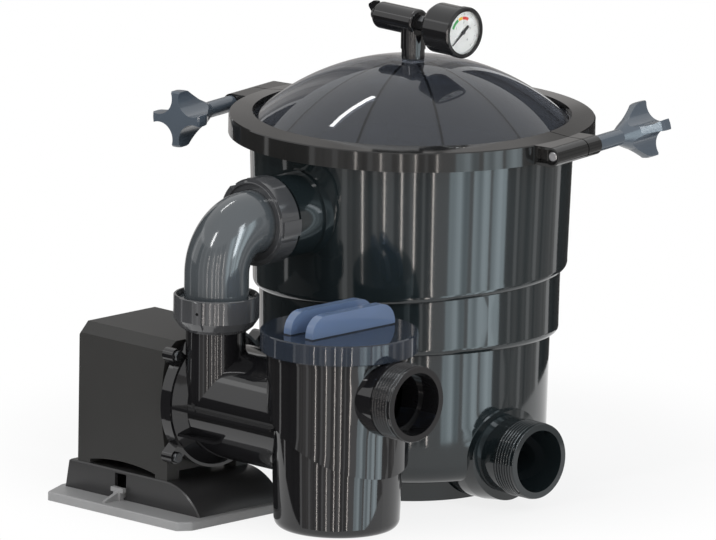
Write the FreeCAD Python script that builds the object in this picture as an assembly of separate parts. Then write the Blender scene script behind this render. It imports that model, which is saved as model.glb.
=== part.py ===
"""Cartridge pool filter unit: tank with clamped clear lid, gauge tee, union elbow and pump on a base plate.

Frame: origin at the centre of the tank's underside, +Z up, +X towards the outlet and suction ports,
-Y towards the pump. All sizes are in millimetres.
"""
import FreeCAD, Part
import math
import os

V = FreeCAD.Vector
X, Y, Z = V(1, 0, 0), V(0, 1, 0), V(0, 0, 1)

# Fits between pieces
running = 0.1        # radial clearance of a turning or sliding fit
easy = 0.3           # gap between pieces that are pushed together
seat = 0.05          # gap between faces that are screwed down
far = 400.0          # longer than any piece, for trimming shapes

# Tank walls
tank_wall = 6.0
tank_rim_z = 365.2
tank_r_rim = 162.7
tank_r_step_1 = 157.2
tank_r_middle_top = 151.5
tank_r_middle_low = 149.8
tank_r_lower_top = 142.3
tank_r_lower_low = 138.5
step_1_z = 210.2
step_2_z = 148.8
step_tilt = 4.2
step_1_turn = 28.0
step_2_turn = -14.0
step_lap = 45.0
step_round = 7.5
floor_z = 23.5
floor_round = 21.0
base_ring_r = 99.0
base_groove_r = 91.0
base_pad_r = 34.0
base_groove_depth = 12.0

# Tank rim, lid flange and seal
flange_reach = 9.3
flange_r = tank_r_rim + flange_reach
flange_depth = 6.6
seal_r = flange_r - 6.8
seal_wire = 2.0
groove_slack = 0.2
lid_gap = 0.3

# Domed lid
dome_sphere_r = 232.0
dome_wall = 5.0
lid_flange_h = 5.7
dome_rim_r = flange_r - 14.6
dome_drop = dome_sphere_r - math.sqrt(dome_sphere_r ** 2 - dome_rim_r ** 2)
dome_apex_z = tank_rim_z + lid_gap + lid_flange_h + dome_drop
dome_rib_count = 11
dome_rib_turn = -1.0
dome_rib_w = 2.6
dome_rib_h = 8.0
dome_rib_r_in = 24.0
dome_rib_r_out = 150.0
dome_boss_r = 16.0
dome_boss_low = dome_apex_z - 7.9
dome_seat_z = dome_apex_z - 0.45
dome_seat_r = 12.8

# Clamp ring
clamp_turn = 10.3
clamp_r = flange_r + 11.7
clamp_lip_r_top = flange_r - 12.0
clamp_lip_r_low = tank_r_rim + 0.8
clamp_z_low = 354.6
clamp_z_edge = 374.3
clamp_crown = 2.4
clamp_edge = 1.0
clamp_gap = 0.4
clamp_split = 8.0
split_gap = 1.4
bolt_reach = clamp_r + 14.0
lug_long = 45.0
lug_short = 32.0
bolt_r = 4.0
bolt_head_r = 5.2
bolt_head_h = 5.0
bolt_pocket_r = 8.0
bolt_pocket_depth = 8.0
bolt_pocket_open = 17.0
bolt_pocket_half = 7.0
bolt_length = 132.0

# Clamp knobs
knob_length = 98.0
knob_hub_r = 8.2
knob_fin_start = 42.0
knob_fin_full = 86.0
knob_arm_r = 28.5
knob_hollow_r = 16.9
knob_hollow_at = 29.4
knob_core_r = knob_hollow_at - knob_hollow_r
knob_end_round = 2.0
knob_turn_right = -17.5
knob_turn_left = 2.0
insert_r = 6.2
insert_length = 24.0
insert_depth = 4.0

# Tank ports: 2 1/2 inch pipe thread
port_thread_r = 37.6
port_bore_r = 31.5
thread_length = 27.0
inlet_z = 297.0
inlet_face_y = -212.4
inlet_body_r = 42.0
inlet_body_end = 197.6
inlet_ring_r = 44.5
inlet_ring_end = 165.0
outlet_z = 49.8
outlet_face_x = 184.7
outlet_boss_r = 48.5
outlet_boss_x = 123.0
outlet_boss_front_r = 45.6
outlet_boss_front_x = 150.0
outlet_boss_reach = 145.6
outlet_collar_r = 38.0
outlet_inner_x = 88.0

# Cartridge and the manifold below it
cartridge_r = 98.0
cartridge_core_r = 34.0
core_wall = 3.0
cap_h = 14.0
cartridge_low_z = 98.0
cartridge_top_z = 345.0
pleat_count = 48
pleat_sheet = 2.4
core_slot_rows = 6
core_slot_count = 6
core_slot_w = 7.0
core_slot_h = 26.0
manifold_pipe_r = 19.8
manifold_bore_r = 16.5
manifold_neck_r = 24.0
manifold_neck_top = 111.0
manifold_plug_x = 106.0
manifold_plug_back = 90.0

# Gauge tee on the lid
tee_rise = 36.2
tee_z = dome_apex_z + tee_rise
tee_barrel_r = 13.5
tee_barrel_end = 9.0
tee_barrel_back = 48.0
tee_neck_r = 12.5
tee_flange_r = 11.6
tee_flange_top = dome_apex_z + 9.1
tee_shank_r = 10.0
tee_shank_low = dome_boss_low - 13.0
tee_bore_r = 4.5
locknut_r = 22.0
locknut_h = 6.4
locknut_notch_r = 3.0
locknut_notches = 8
tee_seal_wire = 1.3
tee_seal_r = 13.0
tee_groove_half = 1.4
tee_groove_depth = 2.4

# Air bleed screw
bleed_stem_r = 4.0
bleed_stem_length = 16.0
bleed_head_r = 6.0
bleed_head_end = 55.0
bleed_lever_w = 4.0
bleed_lever = ((-3.0, 1.0), (13.3, 1.0), (13.3, 6.0), (9.0, 13.0), (6.5, 13.0), (-3.0, 5.0))

# Pressure gauge: nominal 50 mm dial
gauge_front_x = 72.5
gauge_r = 25.2
gauge_rim_r = 25.0
gauge_inner_r = 24.1
gauge_back_x = 26.0
gauge_shoulder_x = 36.0
gauge_back_r = 13.0
gauge_back_wall = 2.0
bezel_r = 26.0
bezel_inner_r = 21.6
bezel_depth = 6.0
bezel_front = 0.8
lens_thick = 1.0
dial_thick = 0.8
dial_x = 67.6
pointer_x = 69.3
pointer_thick = 0.6
pointer_tip_r = 19.0
pointer_tail_r = 9.0
pointer_tip_w = 0.8
pointer_tail_w = 2.6
pointer_hub_r = 2.2
pointer_zero_deg = 218.0
arbor_r = 0.9
socket_hex = 8.0
socket_stem_r = 4.9
bourdon_r = 18.0
bourdon_tube_r = 1.8
bourdon_x = 45.0
movement_half = 9.0
movement_depth = 12.0

# Elbow and unions
elbow_y = -274.0
elbow_r = 32.3
elbow_socket_r = 25.3
elbow_flow_r = 22.0
elbow_bend_r = 45.0
nut_thread_r = 37.75
nut_r = 41.8
nut_face_y = -226.0
nut_back_y = -198.0
nut_lip = 5.0
nut_recess_r = 38.5
nut_recess_depth = 2.0
nut_pad_r = 44.2
nut_pad_deg = 86.0
nut_pads = 3
nut_pad_turn = 57.0
nut_bar_r = 43.4
nut_bar_deg = 22.0
nut_bar_turn = -3.0
nut_bar_length = 24.0
tail_flange_r = 36.6
tail_flange = 6.0
tail_tube_r = 25.2
tail_tube_length = 16.0
tail_bore_r = 21.5
union_seal_r = 34.3
union_seal_wire = 1.5
lower_nut_low = 196.0
lower_nut_top = 231.5
lower_nut_low_r = 33.4
lower_nut_max_r = 42.8
lower_nut_rim_r = 42.0
lower_nut_lip = 9.0
collar_top = 227.0
discharge_r = 30.0
discharge_bore_r = 24.0
discharge_top = 212.0
lock_tab_deg = 290.0
lock_tab_w = 8.0
lock_tab_reach = 2.6
lock_hole_r = 1.6
lock_hole_z = 219.0

# Pump wet end
pump_y = -246.0
pump_z = 118.0
volute_r = 58.0
volute_wall = 5.0
chamber_x1 = 2.0
throat_length = 34.0
transfer_r = 30.0
wet_flange_x = -28.0
wet_flange_wall = 7.0
wet_flange_r = 70.5
wet_shoulder = 12.0
ear_circle_r = 80.0
ear_r = 7.0
ear_degrees = (40.0, 140.0, 220.6, 319.4)
wet_bolt_r = 3.0
wet_bolt_head_r = 5.5
wet_bolt_head = 4.0
split_rib_reach = 70.0
split_rib_end = 118.0
split_rib_h = 3.0
low_rib_drop = 29.0
low_rib_start = -20.0
low_rib_end = 31.0
low_rib_reach = 60.0

# Strainer pot
pot_x = 144.5
pot_low_z = 15.2
pot_top_z = 210.4
pot_r_top = 72.2
pot_r_step = 70.2
pot_r_below = 68.6
pot_r_low = 62.5
pot_low_round = 10.0
pot_wall = 4.5
pot_step_z = 111.0
pot_step_tilt = 26.6
pot_rim_lip = 0.8
pot_rim_h = 4.0
pot_collar_h = 14.0
pot_mouth_r = pot_r_top - 8.4
suction_z = 157.4
suction_face_x = 252.9
suction_collar_r = 38.5
suction_collar_end = 226.0
suction_inner_r = 28.2
suction_mouth_depth = 25.0

# Strainer lid and basket
strainer_lid_r = 78.6
strainer_lid_top = 215.4
strainer_lid_bevel = 1.2
strainer_skirt_low = 194.9
lid_skirt_gap = 0.6
bar_offset = 15.0
bar_length = 116.0
bar_w = 10.0
bar_h = 22.9
bar_round = 20.0
strainer_seal_r = pot_r_top - 3.3
strainer_seal_wire = 1.7
basket_r_top = 60.0
basket_r_low = 54.0
basket_wall = 2.6
basket_low_z = 28.0
basket_rim_r = pot_r_top - 6.0
basket_rim_h = 3.0
basket_seat_z = 202.0
basket_slot_w = 5.0
basket_slots = 16
basket_slot_rows = 5
basket_slot_h = 24.0
basket_slot_pitch = 32.0

# Seal plate, impeller and shaft seal
seal_plate_r = 69.5
seal_plate_wall = 7.0
plate_seal_r = 60.0
seal_hub_r = 19.0
seal_hub_length = 9.0
seal_pocket_r = 14.0
seal_pocket_depth = 13.0
seal_seat_length = 5.0
impeller_r = 46.0
impeller_x = -21.0
impeller_shroud = 3.0
impeller_vane_h = 9.0
impeller_vanes = 6
impeller_vane_t = 2.6
impeller_hub_r = 10.0
impeller_neck_r = 20.0
impeller_neck = 9.0
shaft_r = 6.0
shaft_front_x = -4.0
shaft_nut_r = 9.0
shaft_nut_length = 9.5

# Motor
motor_cover_x0 = -163.0
motor_cover_half_y = 57.0
motor_cover_z0 = 38.05
motor_cover_z1 = 179.7
motor_cover_chamfer = 10.5
motor_cover_wall = 3.0
motor_cover_end_x = -37.0
motor_cover_dish = 9.0
motor_cover_arch = 9.0
motor_shell_r = 46.0
motor_shell_wall = 2.0
motor_front_x = -47.0
motor_rear_x = -137.0
shield_wall = 5.0
stator_r = 43.9
stator_bore_r = 24.4
stator_length = 40.0
stator_mid_x = -92.0
winding_r = 38.0
winding_bore_r = 28.0
winding_overhang = 11.0
stator_slots = 12
slot_w = 5.0
slot_depth = 10.0
rotor_r = 24.0
bearing_outer_r = 15.0
bearing_w = 9.0
fan_r = 38.0
fan_x = -154.0
fan_hub_r = 10.0
fan_blades = 7
fan_blade_w = 11.0
fan_blade_t = 2.0
vent_half = 34.0
vent_slots = 9
vent_slot_w = 3.0
vent_slot_pitch = 8.0
cover_boss_h = 16.0
cover_screw_inset = 12.0

# Foot and plate
plate_x0, plate_x1 = -188.0, 18.0
plate_y0, plate_y1 = -335.0, -157.0
plate_h = 9.0
plate_corner_rear = 14.0
plate_corner_front = 9.0
plate_upright_r = 5.0
plate_edge = 2.0
plate_counterbore = 4.0
foot_x0, foot_x1 = -178.0, 11.0
foot_half_y = 59.0
foot_top_z = 38.0
foot_wall_lean = 5.0
foot_shell = 4.0
foot_nose_start = -40.0
foot_edge = 1.4
foot_screw_rear_x = -163.0
foot_screw_front_x = -9.0
foot_screw_half = 45.0
foot_screw_grip = 12.0
foot_notch_w = 16.0
foot_notch_low = 11.0
saddle_x0, saddle_x1 = -122.0, -62.0
saddle_half = 30.0
saddle_wrap = 8.0
clip_x = -100.5
clip_w = 10.0
clip_head_half = 8.5
clip_thick = 5.0
clip_head_low = 17.0
clip_top = 21.5
clip_strut_w = 4.0
clip_strut_reach = 23.0
screw_r = 2.0
screw_head_r = 4.0
screw_head = 2.4
screw_boss_r = 5.0

# Drain plug
drain_thread_r = 7.0
drain_head_r = 10.0
drain_head = 8.0
drain_z = 36.0
drain_boss_r = 12.0
drain_boss_end = 69.0
drain_stem_length = 10.0

ZERO = V(0, 0, 0)


def cyl(radius, length, base=ZERO, axis=Z):
    return Part.makeCylinder(radius, length, base, axis)


def box(x0, x1, y0, y1, z0, z1):
    return Part.makeBox(x1 - x0, y1 - y0, z1 - z0, V(x0, y0, z0))


def turned(points):
    """Solid of revolution about Z from a closed outline of (radius, height) points."""
    wire = Part.makePolygon([V(r, 0, z) for r, z in points] + [V(points[0][0], 0, points[0][1])])
    return Part.Face(wire).revolve(ZERO, Z, 360)


def aim(shape, base, axis):
    """Move a solid built along +Z so that its Z axis lies along the given axis, from the given base."""
    moved = shape.copy()
    turn = FreeCAD.Rotation(Z, axis)
    moved.Placement = FreeCAD.Placement(base, turn).multiply(moved.Placement)
    return moved


def turned_about(shape, degrees, centre=ZERO, axis=Z):
    moved = shape.copy()
    moved.rotate(centre, axis, degrees)
    return moved


def joined(shapes):
    first = shapes[0]
    if len(shapes) > 1:
        first = first.fuse(shapes[1:])
    return first.removeSplitter()


def sector(r_in, r_out, length, degrees, at_degrees):
    """Block of a ring along +Z, centred on the given angle."""
    ring = Part.makeCylinder(r_out, length, ZERO, Z, degrees).cut(cyl(r_in, length))
    return turned_about(ring, at_degrees - degrees / 2.0)


def seal_ring(radius, wire, base, axis=Z):
    return Part.makeTorus(radius, wire, base, axis)


def tilted_space(z_at_axis, tilt, centre_x=0.0, centre_y=0.0):
    """All the space above a plane that rises towards +X by the tilt."""
    size = 3 * far
    block = box(-size, size, -size, size, 0, size)
    block.rotate(ZERO, Y, -tilt)
    block.translate(V(centre_x, centre_y, z_at_axis))
    return block


def round_lowest_edge(shape, radius):
    """Round the oval edge where a tilted plane cut the underside of a section."""
    ovals = [e for e in shape.Edges if e.Closed and e.BoundBox.ZLength > 1.0]
    return shape.makeFillet(radius, ovals) if ovals else shape


def tank_section(r_low, z_low, r_high, z_high, turn, inset):
    """Cone of the tank wall, cut off below by the slanted plane of its step."""
    start = z_low - step_lap
    slope = (r_high - r_low) / (z_high - z_low)
    cone = Part.makeCone(r_low - slope * step_lap - inset, r_high - inset, z_high - start, V(0, 0, start), Z)
    section = cone.common(tilted_space(z_low + inset, step_tilt))
    if inset == 0:
        section = round_lowest_edge(section, step_round)
    return turned_about(section, turn)


def tank_form(inset, top_z):
    """Outer form of the tank walls, or with an inset the cavity inside them."""
    upper = tank_section(tank_r_step_1, step_1_z, tank_r_rim, top_z, step_1_turn, inset)
    middle = tank_section(tank_r_middle_low, step_2_z, tank_r_middle_top, step_1_z + step_lap,
                          step_2_turn, inset)
    low = floor_z + inset
    round_r = floor_round - inset
    wall = turned([(0, low), (tank_r_lower_low - inset, low), (tank_r_lower_top - inset, step_2_z + step_lap),
                   (0, step_2_z + step_lap)])
    edge = [e for e in wall.Edges
            if e.Closed and abs(e.BoundBox.ZMin - low) < 0.01 and e.BoundBox.ZLength < 0.01]
    wall = wall.makeFillet(round_r, edge)
    return joined([upper, middle, wall])


def tank_body():
    outer = tank_form(0.0, tank_rim_z)
    base = cyl(base_ring_r, floor_z + floor_round)
    rim = cyl(flange_r, flange_depth, V(0, 0, tank_rim_z - flange_depth))
    cavity = tank_form(tank_wall, tank_rim_z)
    shell = joined([outer, base, rim]).cut(cavity)
    groove = turned([(base_pad_r, 0), (base_groove_r, 0), (base_groove_r - 4, base_groove_depth),
                     (base_pad_r + 4, base_groove_depth)])
    inlet = joined([cyl(inlet_ring_r, inlet_ring_end - 140.0, V(0, -140.0, inlet_z), -Y),
                    cyl(inlet_body_r, inlet_body_end - 140.0, V(0, -140.0, inlet_z), -Y),
                    cyl(port_thread_r, -inlet_face_y - 140.0, V(0, -140.0, inlet_z), -Y)])
    thread_start = outlet_face_x - thread_length
    outlet = joined([outlet_boss(),
                     cyl(outlet_collar_r, thread_start - outlet_inner_x - 1,
                         V(outlet_inner_x + 1, 0, outlet_z), X),
                     cyl(port_thread_r, outlet_face_x - outlet_inner_x - 1,
                         V(outlet_inner_x + 1, 0, outlet_z), X)])
    shell = shell.fuse([inlet.cut(cyl(tank_r_step_1 - tank_wall, tank_rim_z)), outlet])
    shell = shell.cut(cyl(port_bore_r, 120.0, V(0, -120.0, inlet_z), -Y))
    shell = shell.cut(cyl(port_bore_r, 120.0, V(outlet_inner_x - 1, 0, outlet_z), X))
    groove_r = seal_wire + groove_slack
    seal_groove = cyl(seal_r + groove_r, 2 * seal_wire + easy, V(0, 0, tank_rim_z - 2 * seal_wire - easy))
    seal_groove = seal_groove.cut(cyl(seal_r - groove_r, far))
    face_groove = union_groove(V(0, inlet_face_y, inlet_z), Y)
    return shell.cut([groove, seal_groove, face_groove]).removeSplitter()


def outlet_boss():
    """Tapered boss round the outlet, its front following the curve of the tank."""
    inside = cyl(outlet_boss_front_r, outlet_boss_x - outlet_inner_x, V(outlet_inner_x, 0, outlet_z), X)
    wide_x = cartridge_r + 4.0
    back = inside.fuse(cyl(outlet_boss_r, outlet_boss_x - wide_x, V(wide_x, 0, outlet_z), X))
    taper = Part.makeCone(outlet_boss_r, outlet_boss_front_r, outlet_boss_front_x - outlet_boss_x,
                          V(outlet_boss_x, 0, outlet_z), X)
    return back.fuse(taper).common(cyl(outlet_boss_reach, 2 * outlet_z + 10))


def union_groove(base, axis):
    """Ring groove sunk into a union face; the axis points into the material."""
    half = union_seal_wire + groove_slack
    ring = cyl(union_seal_r + half, 2 * union_seal_wire, ZERO)
    ring = ring.cut(cyl(union_seal_r - half, 2 * union_seal_wire))
    return aim(ring, base, axis)


def dome_radius(sphere_r, height):
    return math.sqrt(sphere_r ** 2 - (height - dome_apex_z + dome_sphere_r) ** 2)


def dome_ball(radius):
    return Part.makeSphere(radius, V(0, 0, dome_apex_z - dome_sphere_r))


def tank_lid():
    """Clear dome with its clamping flange, radial ribs inside and a flat seat for the tee."""
    low = tank_rim_z + lid_gap
    inner_r = dome_sphere_r - dome_wall
    above = cyl(flange_r, dome_apex_z - low + 1, V(0, 0, low))
    shell = above.common(dome_ball(dome_sphere_r)).cut(dome_ball(inner_r))
    flange = cyl(flange_r, lid_flange_h, V(0, 0, low))
    flange = flange.cut(cyl(dome_radius(inner_r, low) + 0.6, 20, V(0, 0, low - 5)))
    rib = box(dome_rib_r_in, dome_rib_r_out, -dome_rib_w / 2.0, dome_rib_w / 2.0, low - 60, dome_apex_z)
    rib = rib.common(dome_ball(inner_r + 1.0)).cut(dome_ball(inner_r - dome_rib_h))
    step = 360.0 / dome_rib_count
    ribs = [turned_about(rib, dome_rib_turn + step * i) for i in range(dome_rib_count)]
    boss = joined([cyl(dome_boss_r, dome_apex_z - dome_boss_low, V(0, 0, dome_boss_low)),
                   cyl(dome_rib_r_in + 1, 4.0, V(0, 0, dome_boss_low))]).common(dome_ball(dome_sphere_r))
    lid = shell.fuse(ribs + [boss, flange])
    groove = cyl(tee_seal_r + tee_groove_half, tee_groove_depth + 5, V(0, 0, dome_boss_low - 5))
    groove = groove.cut(cyl(tee_seal_r - tee_groove_half, 20, V(0, 0, dome_boss_low - 10)))
    bore = cyl(tee_shank_r + running, 60, V(0, 0, dome_boss_low - 5))
    return lid.cut([groove, bore, cyl(dome_seat_r, 10, V(0, 0, dome_seat_z))]).removeSplitter()


def clamp_channel():
    """Whole clamp ring with its inner channel, before it is split."""
    flange_low = tank_rim_z - flange_depth - clamp_gap
    flange_top = tank_rim_z + lid_gap + lid_flange_h + clamp_gap
    return turned([(clamp_lip_r_low, clamp_z_low), (clamp_r, clamp_z_low),
                   (clamp_r, clamp_z_edge - clamp_edge),
                   (clamp_r - clamp_edge, clamp_z_edge), (clamp_lip_r_top, clamp_z_edge + clamp_crown),
                   (clamp_lip_r_top, flange_top), (flange_r + clamp_gap, flange_top),
                   (flange_r + clamp_gap, flange_low), (clamp_lip_r_low, flange_low)])


def clamp_lug(side, y0, y1):
    """Straight lug beside the ring, from y0 to y1 along the bolt."""
    middle = (clamp_z_low + clamp_z_edge) / 2.0
    half = (clamp_z_edge - clamp_z_low) / 2.0
    reach = side * bolt_reach
    block = box(min(side * 120.0, reach), max(side * 120.0, reach), y0, y1, clamp_z_low, clamp_z_edge)
    nose = cyl(half, y1 - y0, V(reach, y0, middle), Y)
    return joined([block, nose]).cut(cyl(clamp_r - 3.0, 60, V(0, 0, clamp_z_low - 20)))


def clamp_half(front):
    """One half of the clamp; the front half reaches past the middle to the offset split."""
    sign = -1 if front else 1
    split = clamp_split if front else clamp_split + split_gap
    keep = box(-far, far, -far, split, 0, far * 2) if front else box(-far, far, split, far, 0, far * 2)
    ring = clamp_channel().common(keep)
    middle = (clamp_z_low + clamp_z_edge) / 2.0
    long_end, short_end = sign * lug_long, sign * lug_short
    long_side = 1 if front else -1
    shapes = [ring,
              clamp_lug(long_side, min(split, long_end), max(split, long_end)),
              clamp_lug(-long_side, min(split, short_end), max(split, short_end))]
    half = joined(shapes)
    for side in (1, -1):
        half = half.cut(cyl(bolt_r + running, 200, V(side * bolt_reach, -100, middle), Y))
    pocket_base = V(long_side * bolt_reach, long_end - sign * bolt_pocket_depth, middle)
    half = half.cut(cyl(bolt_pocket_r, bolt_pocket_depth + 1, pocket_base, Y * sign))
    mouth = box(-bolt_pocket_open, 0, 0, bolt_pocket_depth + 1, -bolt_pocket_half, bolt_pocket_half)
    if front:
        mouth = mouth.mirror(ZERO, Y)
    else:
        mouth = mouth.mirror(ZERO, X)
    mouth.translate(pocket_base)
    half = half.cut(mouth)
    return turned_about(half, clamp_turn)


def clamp_bolt(front):
    """Bolt whose head sits in the pocket of the long lug."""
    sign = -1 if front else 1
    side = 1 if front else -1
    middle = (clamp_z_low + clamp_z_edge) / 2.0
    seat_y = sign * (lug_long - bolt_pocket_depth)
    head = cyl(bolt_head_r, bolt_head_h, V(side * bolt_reach, seat_y, middle), Y * sign)
    rim = [e for e in head.Edges if e.Closed and abs(e.BoundBox.YMin - (seat_y + sign * bolt_head_h)) < 0.01]
    head = head.makeFillet(1.2, rim)
    shank = cyl(bolt_r, bolt_length, V(side * bolt_reach, seat_y, middle), Y * -sign)
    return turned_about(joined([head, shank]), clamp_turn)


def clamp_knob_local():
    """Long-hubbed four-arm knob along +Z, with the bolt entering at 0."""
    top = knob_length
    hub = turned([(0, 0), (knob_hub_r - 0.6, 0), (knob_hub_r, 0.6), (knob_hub_r, knob_fin_start + 6),
                  (knob_core_r, knob_fin_full), (knob_core_r, top - 3), (knob_core_r - 3, top), (0, top)])
    limit = turned([(0, knob_fin_start), (knob_hub_r - 0.4, knob_fin_start), (knob_arm_r * 0.55, 62.0),
                    (knob_arm_r - 1.0, knob_fin_full - 4), (knob_arm_r, knob_fin_full + 1),
                    (knob_arm_r, top - knob_end_round), (knob_arm_r - knob_end_round, top), (0, top)])
    hollow = cyl(knob_hollow_r, top, V(knob_hollow_at, 0, 0))
    star = limit.cut([turned_about(hollow, degrees) for degrees in (45, 135, 225, 315)])
    knob = joined([hub, star])
    knob = knob.cut(cyl(bolt_r + 1.0, knob_length - 8.0, V(0, 0, -1)))
    return knob.cut(cyl(insert_r, insert_length, V(0, 0, insert_depth)))


def knob_insert_local():
    insert = cyl(insert_r, insert_length, V(0, 0, insert_depth))
    return insert.cut(cyl(bolt_r + running, insert_length + 2, V(0, 0, insert_depth - 1)))


def on_knob_seat(shape, front):
    """Put a knob piece against the short lug: the front half's knob points to -Y, the rear one to +Y."""
    sign = -1 if front else 1
    side = -1 if front else 1
    middle = (clamp_z_low + clamp_z_edge) / 2.0
    turned_star = turned_about(shape, knob_turn_left if front else knob_turn_right)
    placed = aim(turned_star, V(side * bolt_reach, sign * (lug_short + easy), middle), Y * sign)
    return turned_about(placed, clamp_turn)


def pleated_media():
    """Folded filter sheet as a closed zigzag band between the core and the outer radius."""
    r_in = cartridge_core_r + easy + pleat_sheet
    r_out = cartridge_r - 2.0
    step = 180.0 / pleat_count
    outer, inner = [], []
    for i in range(2 * pleat_count):
        angle = math.radians(step * i)
        crest = i % 2 == 0
        radius = r_out if crest else r_in
        offset = -pleat_sheet * 2.2 if crest else -pleat_sheet * 0.7
        outer.append(V(radius * math.cos(angle), radius * math.sin(angle), 0))
        inner.append(V((radius + offset) * math.cos(angle), (radius + offset) * math.sin(angle), 0))
    face = Part.Face([Part.makePolygon(outer + [outer[0]]), Part.makePolygon(inner + [inner[0]])])
    face.validate()
    low = cartridge_low_z + cap_h
    band = face.extrude(V(0, 0, cartridge_top_z - cap_h - low))
    band.translate(V(0, 0, low))
    return band


def cartridge_core():
    low = cartridge_low_z + cap_h
    length = cartridge_top_z - cap_h - low
    core = cyl(cartridge_core_r, length, V(0, 0, low))
    core = core.cut(cyl(cartridge_core_r - core_wall, length, V(0, 0, low)))
    pitch = length / core_slot_rows
    slots = []
    for row in range(core_slot_rows):
        z = low + pitch * (row + 0.5) - core_slot_h / 2.0
        for i in range(core_slot_count // 2):
            slot = box(-60, 60, -core_slot_w / 2.0, core_slot_w / 2.0, z, z + core_slot_h)
            slots.append(turned_about(slot, 360.0 / core_slot_count * i + (30.0 if row % 2 else 0.0)))
    return core.cut(slots)


def cartridge_cap(top):
    z = cartridge_top_z - cap_h if top else cartridge_low_z
    cap = cyl(cartridge_r, cap_h, V(0, 0, z))
    rims = [e for e in cap.Edges if e.Closed]
    cap = cap.makeFillet(2.0, rims)
    if top:
        handle = joined([box(-30, 30, -5, 5, z + cap_h - 1, z + cap_h + 20)])
        handle = handle.makeFillet(4.0, [e for e in handle.Edges
                                         if abs(e.BoundBox.ZMin - (z + cap_h + 20)) < 0.1])
        hand_gap = box(-20, 20, -8, 8, z + cap_h + 2, z + cap_h + 12)
        return joined([cap, handle.cut(hand_gap)])
    return cap.cut(cyl(manifold_neck_r + running, 2 * cap_h, V(0, 0, z - 1)))


def outlet_manifold():
    plug = cyl(port_bore_r - easy, manifold_plug_x - manifold_plug_back,
               V(manifold_plug_back, 0, outlet_z), X)
    pipe = cyl(manifold_pipe_r, manifold_plug_back + 1, V(0, 0, outlet_z), X)
    knee = Part.makeSphere(manifold_pipe_r, V(0, 0, outlet_z))
    riser = cyl(manifold_pipe_r, cartridge_low_z - outlet_z, V(0, 0, outlet_z))
    shelf = cyl(manifold_neck_r + 8, 6.0, V(0, 0, cartridge_low_z - 6.0 - seat))
    neck = cyl(manifold_neck_r, manifold_neck_top - cartridge_low_z + 6.0, V(0, 0, cartridge_low_z - 6.0))
    stay = box(-6, 6, -manifold_pipe_r + 2, manifold_pipe_r - 2, floor_z + tank_wall + seat,
               outlet_z - manifold_pipe_r + 2)
    body = joined([plug, pipe, knee, riser, shelf, neck, stay])
    flow = joined([cyl(manifold_bore_r, manifold_plug_x + 5, V(0, 0, outlet_z), X),
                   Part.makeSphere(manifold_bore_r, V(0, 0, outlet_z)),
                   cyl(manifold_bore_r, 100, V(0, 0, outlet_z))])
    ring_x = (manifold_plug_x + manifold_plug_back) / 2.0
    ring = cyl(port_bore_r, 4.2, V(ring_x - 2.1, 0, outlet_z), X)
    ring = ring.cut(cyl(port_bore_r - 3.8, 10, V(ring_x - 5, 0, outlet_z), X))
    return body.cut(flow).cut(ring)


def manifold_seal():
    ring_x = (manifold_plug_x + manifold_plug_back) / 2.0
    return seal_ring(port_bore_r - 1.95, 1.8, V(ring_x, 0, outlet_z), X)


def gauge_tee():
    barrel = cyl(tee_barrel_r, tee_barrel_end + tee_barrel_back, V(-tee_barrel_back, 0, tee_z), X)
    back = [e for e in barrel.Edges if e.Closed and e.BoundBox.XMax < -tee_barrel_back + 1]
    barrel = barrel.makeFillet(5.0, back)
    front = [e for e in barrel.Edges if e.Closed and e.BoundBox.XMin > tee_barrel_end - 1]
    barrel = barrel.makeFillet(3.0, front)
    neck = cyl(tee_neck_r, tee_z - tee_flange_top, V(0, 0, tee_flange_top))
    neck = neck.cut(cyl(tee_barrel_r, tee_neck_r, V(tee_barrel_end, 0, tee_z), X))
    low = dome_seat_z + seat
    flange = cyl(tee_flange_r, tee_flange_top - low, V(0, 0, low))
    shank = cyl(tee_shank_r, low + 2 - tee_shank_low, V(0, 0, tee_shank_low))
    body = joined([barrel, neck, flange, shank])
    bores = [cyl(tee_bore_r, tee_z - tee_shank_low + 1, V(0, 0, tee_shank_low - 1)),
             cyl(socket_stem_r + seat, tee_barrel_end + 10, V(-8, 0, tee_z), X),
             cyl(bleed_stem_r + running, tee_barrel_back + 1, V(-tee_barrel_back - 1, 0, tee_z), X)]
    return body.cut(bores)


def tee_locknut():
    top = dome_boss_low - seat
    nut = cyl(locknut_r, locknut_h, V(0, 0, top - locknut_h))
    notch = [turned_about(cyl(locknut_notch_r, locknut_h, V(locknut_r + 0.6, 0, top - locknut_h)),
                          360.0 / locknut_notches * i) for i in range(locknut_notches)]
    return nut.cut(notch).cut(cyl(tee_shank_r + seat, 40, V(0, 0, top - 30)))


def tee_seal():
    return seal_ring(tee_seal_r, tee_seal_wire - 0.15, V(0, 0, dome_boss_low + tee_seal_wire - 0.1))


def bleed_screw():
    """Turned screw along -X with a flat lever on one side, closing the end of the tee barrel."""
    start = tee_barrel_back + easy
    length = bleed_head_end - start
    head = turned([(0, 0), (bleed_head_r - 0.8, 0), (bleed_head_r, 0.8), (bleed_head_r, length - 0.8),
                   (bleed_head_r - 0.8, length), (0, length)])
    outline = [V(up, -bleed_lever_w / 2.0, along) for up, along in bleed_lever]
    lever = Part.Face(Part.makePolygon(outline + [outline[0]])).extrude(V(0, bleed_lever_w, 0))
    stem = cyl(bleed_stem_r, bleed_stem_length + easy, V(0, 0, -bleed_stem_length - easy))
    screw = joined([head, lever, stem])
    neck = cyl(bleed_stem_r + 1, 2.0, V(0, 0, -6.0)).cut(cyl(bleed_stem_r - 1.5, 4, V(0, 0, -7.0)))
    return aim(screw.cut(neck), V(-start, 0, tee_z), -X)


def bleed_seal():
    start = tee_barrel_back + easy
    return seal_ring(bleed_stem_r - 0.65, 0.6, V(-start + 5.0, 0, tee_z), X)


def on_gauge(shape):
    """Place a piece turned about Z so that its Z axis is the gauge axis, +X, at the tee height."""
    return aim(shape, V(0, 0, tee_z), X)


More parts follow.
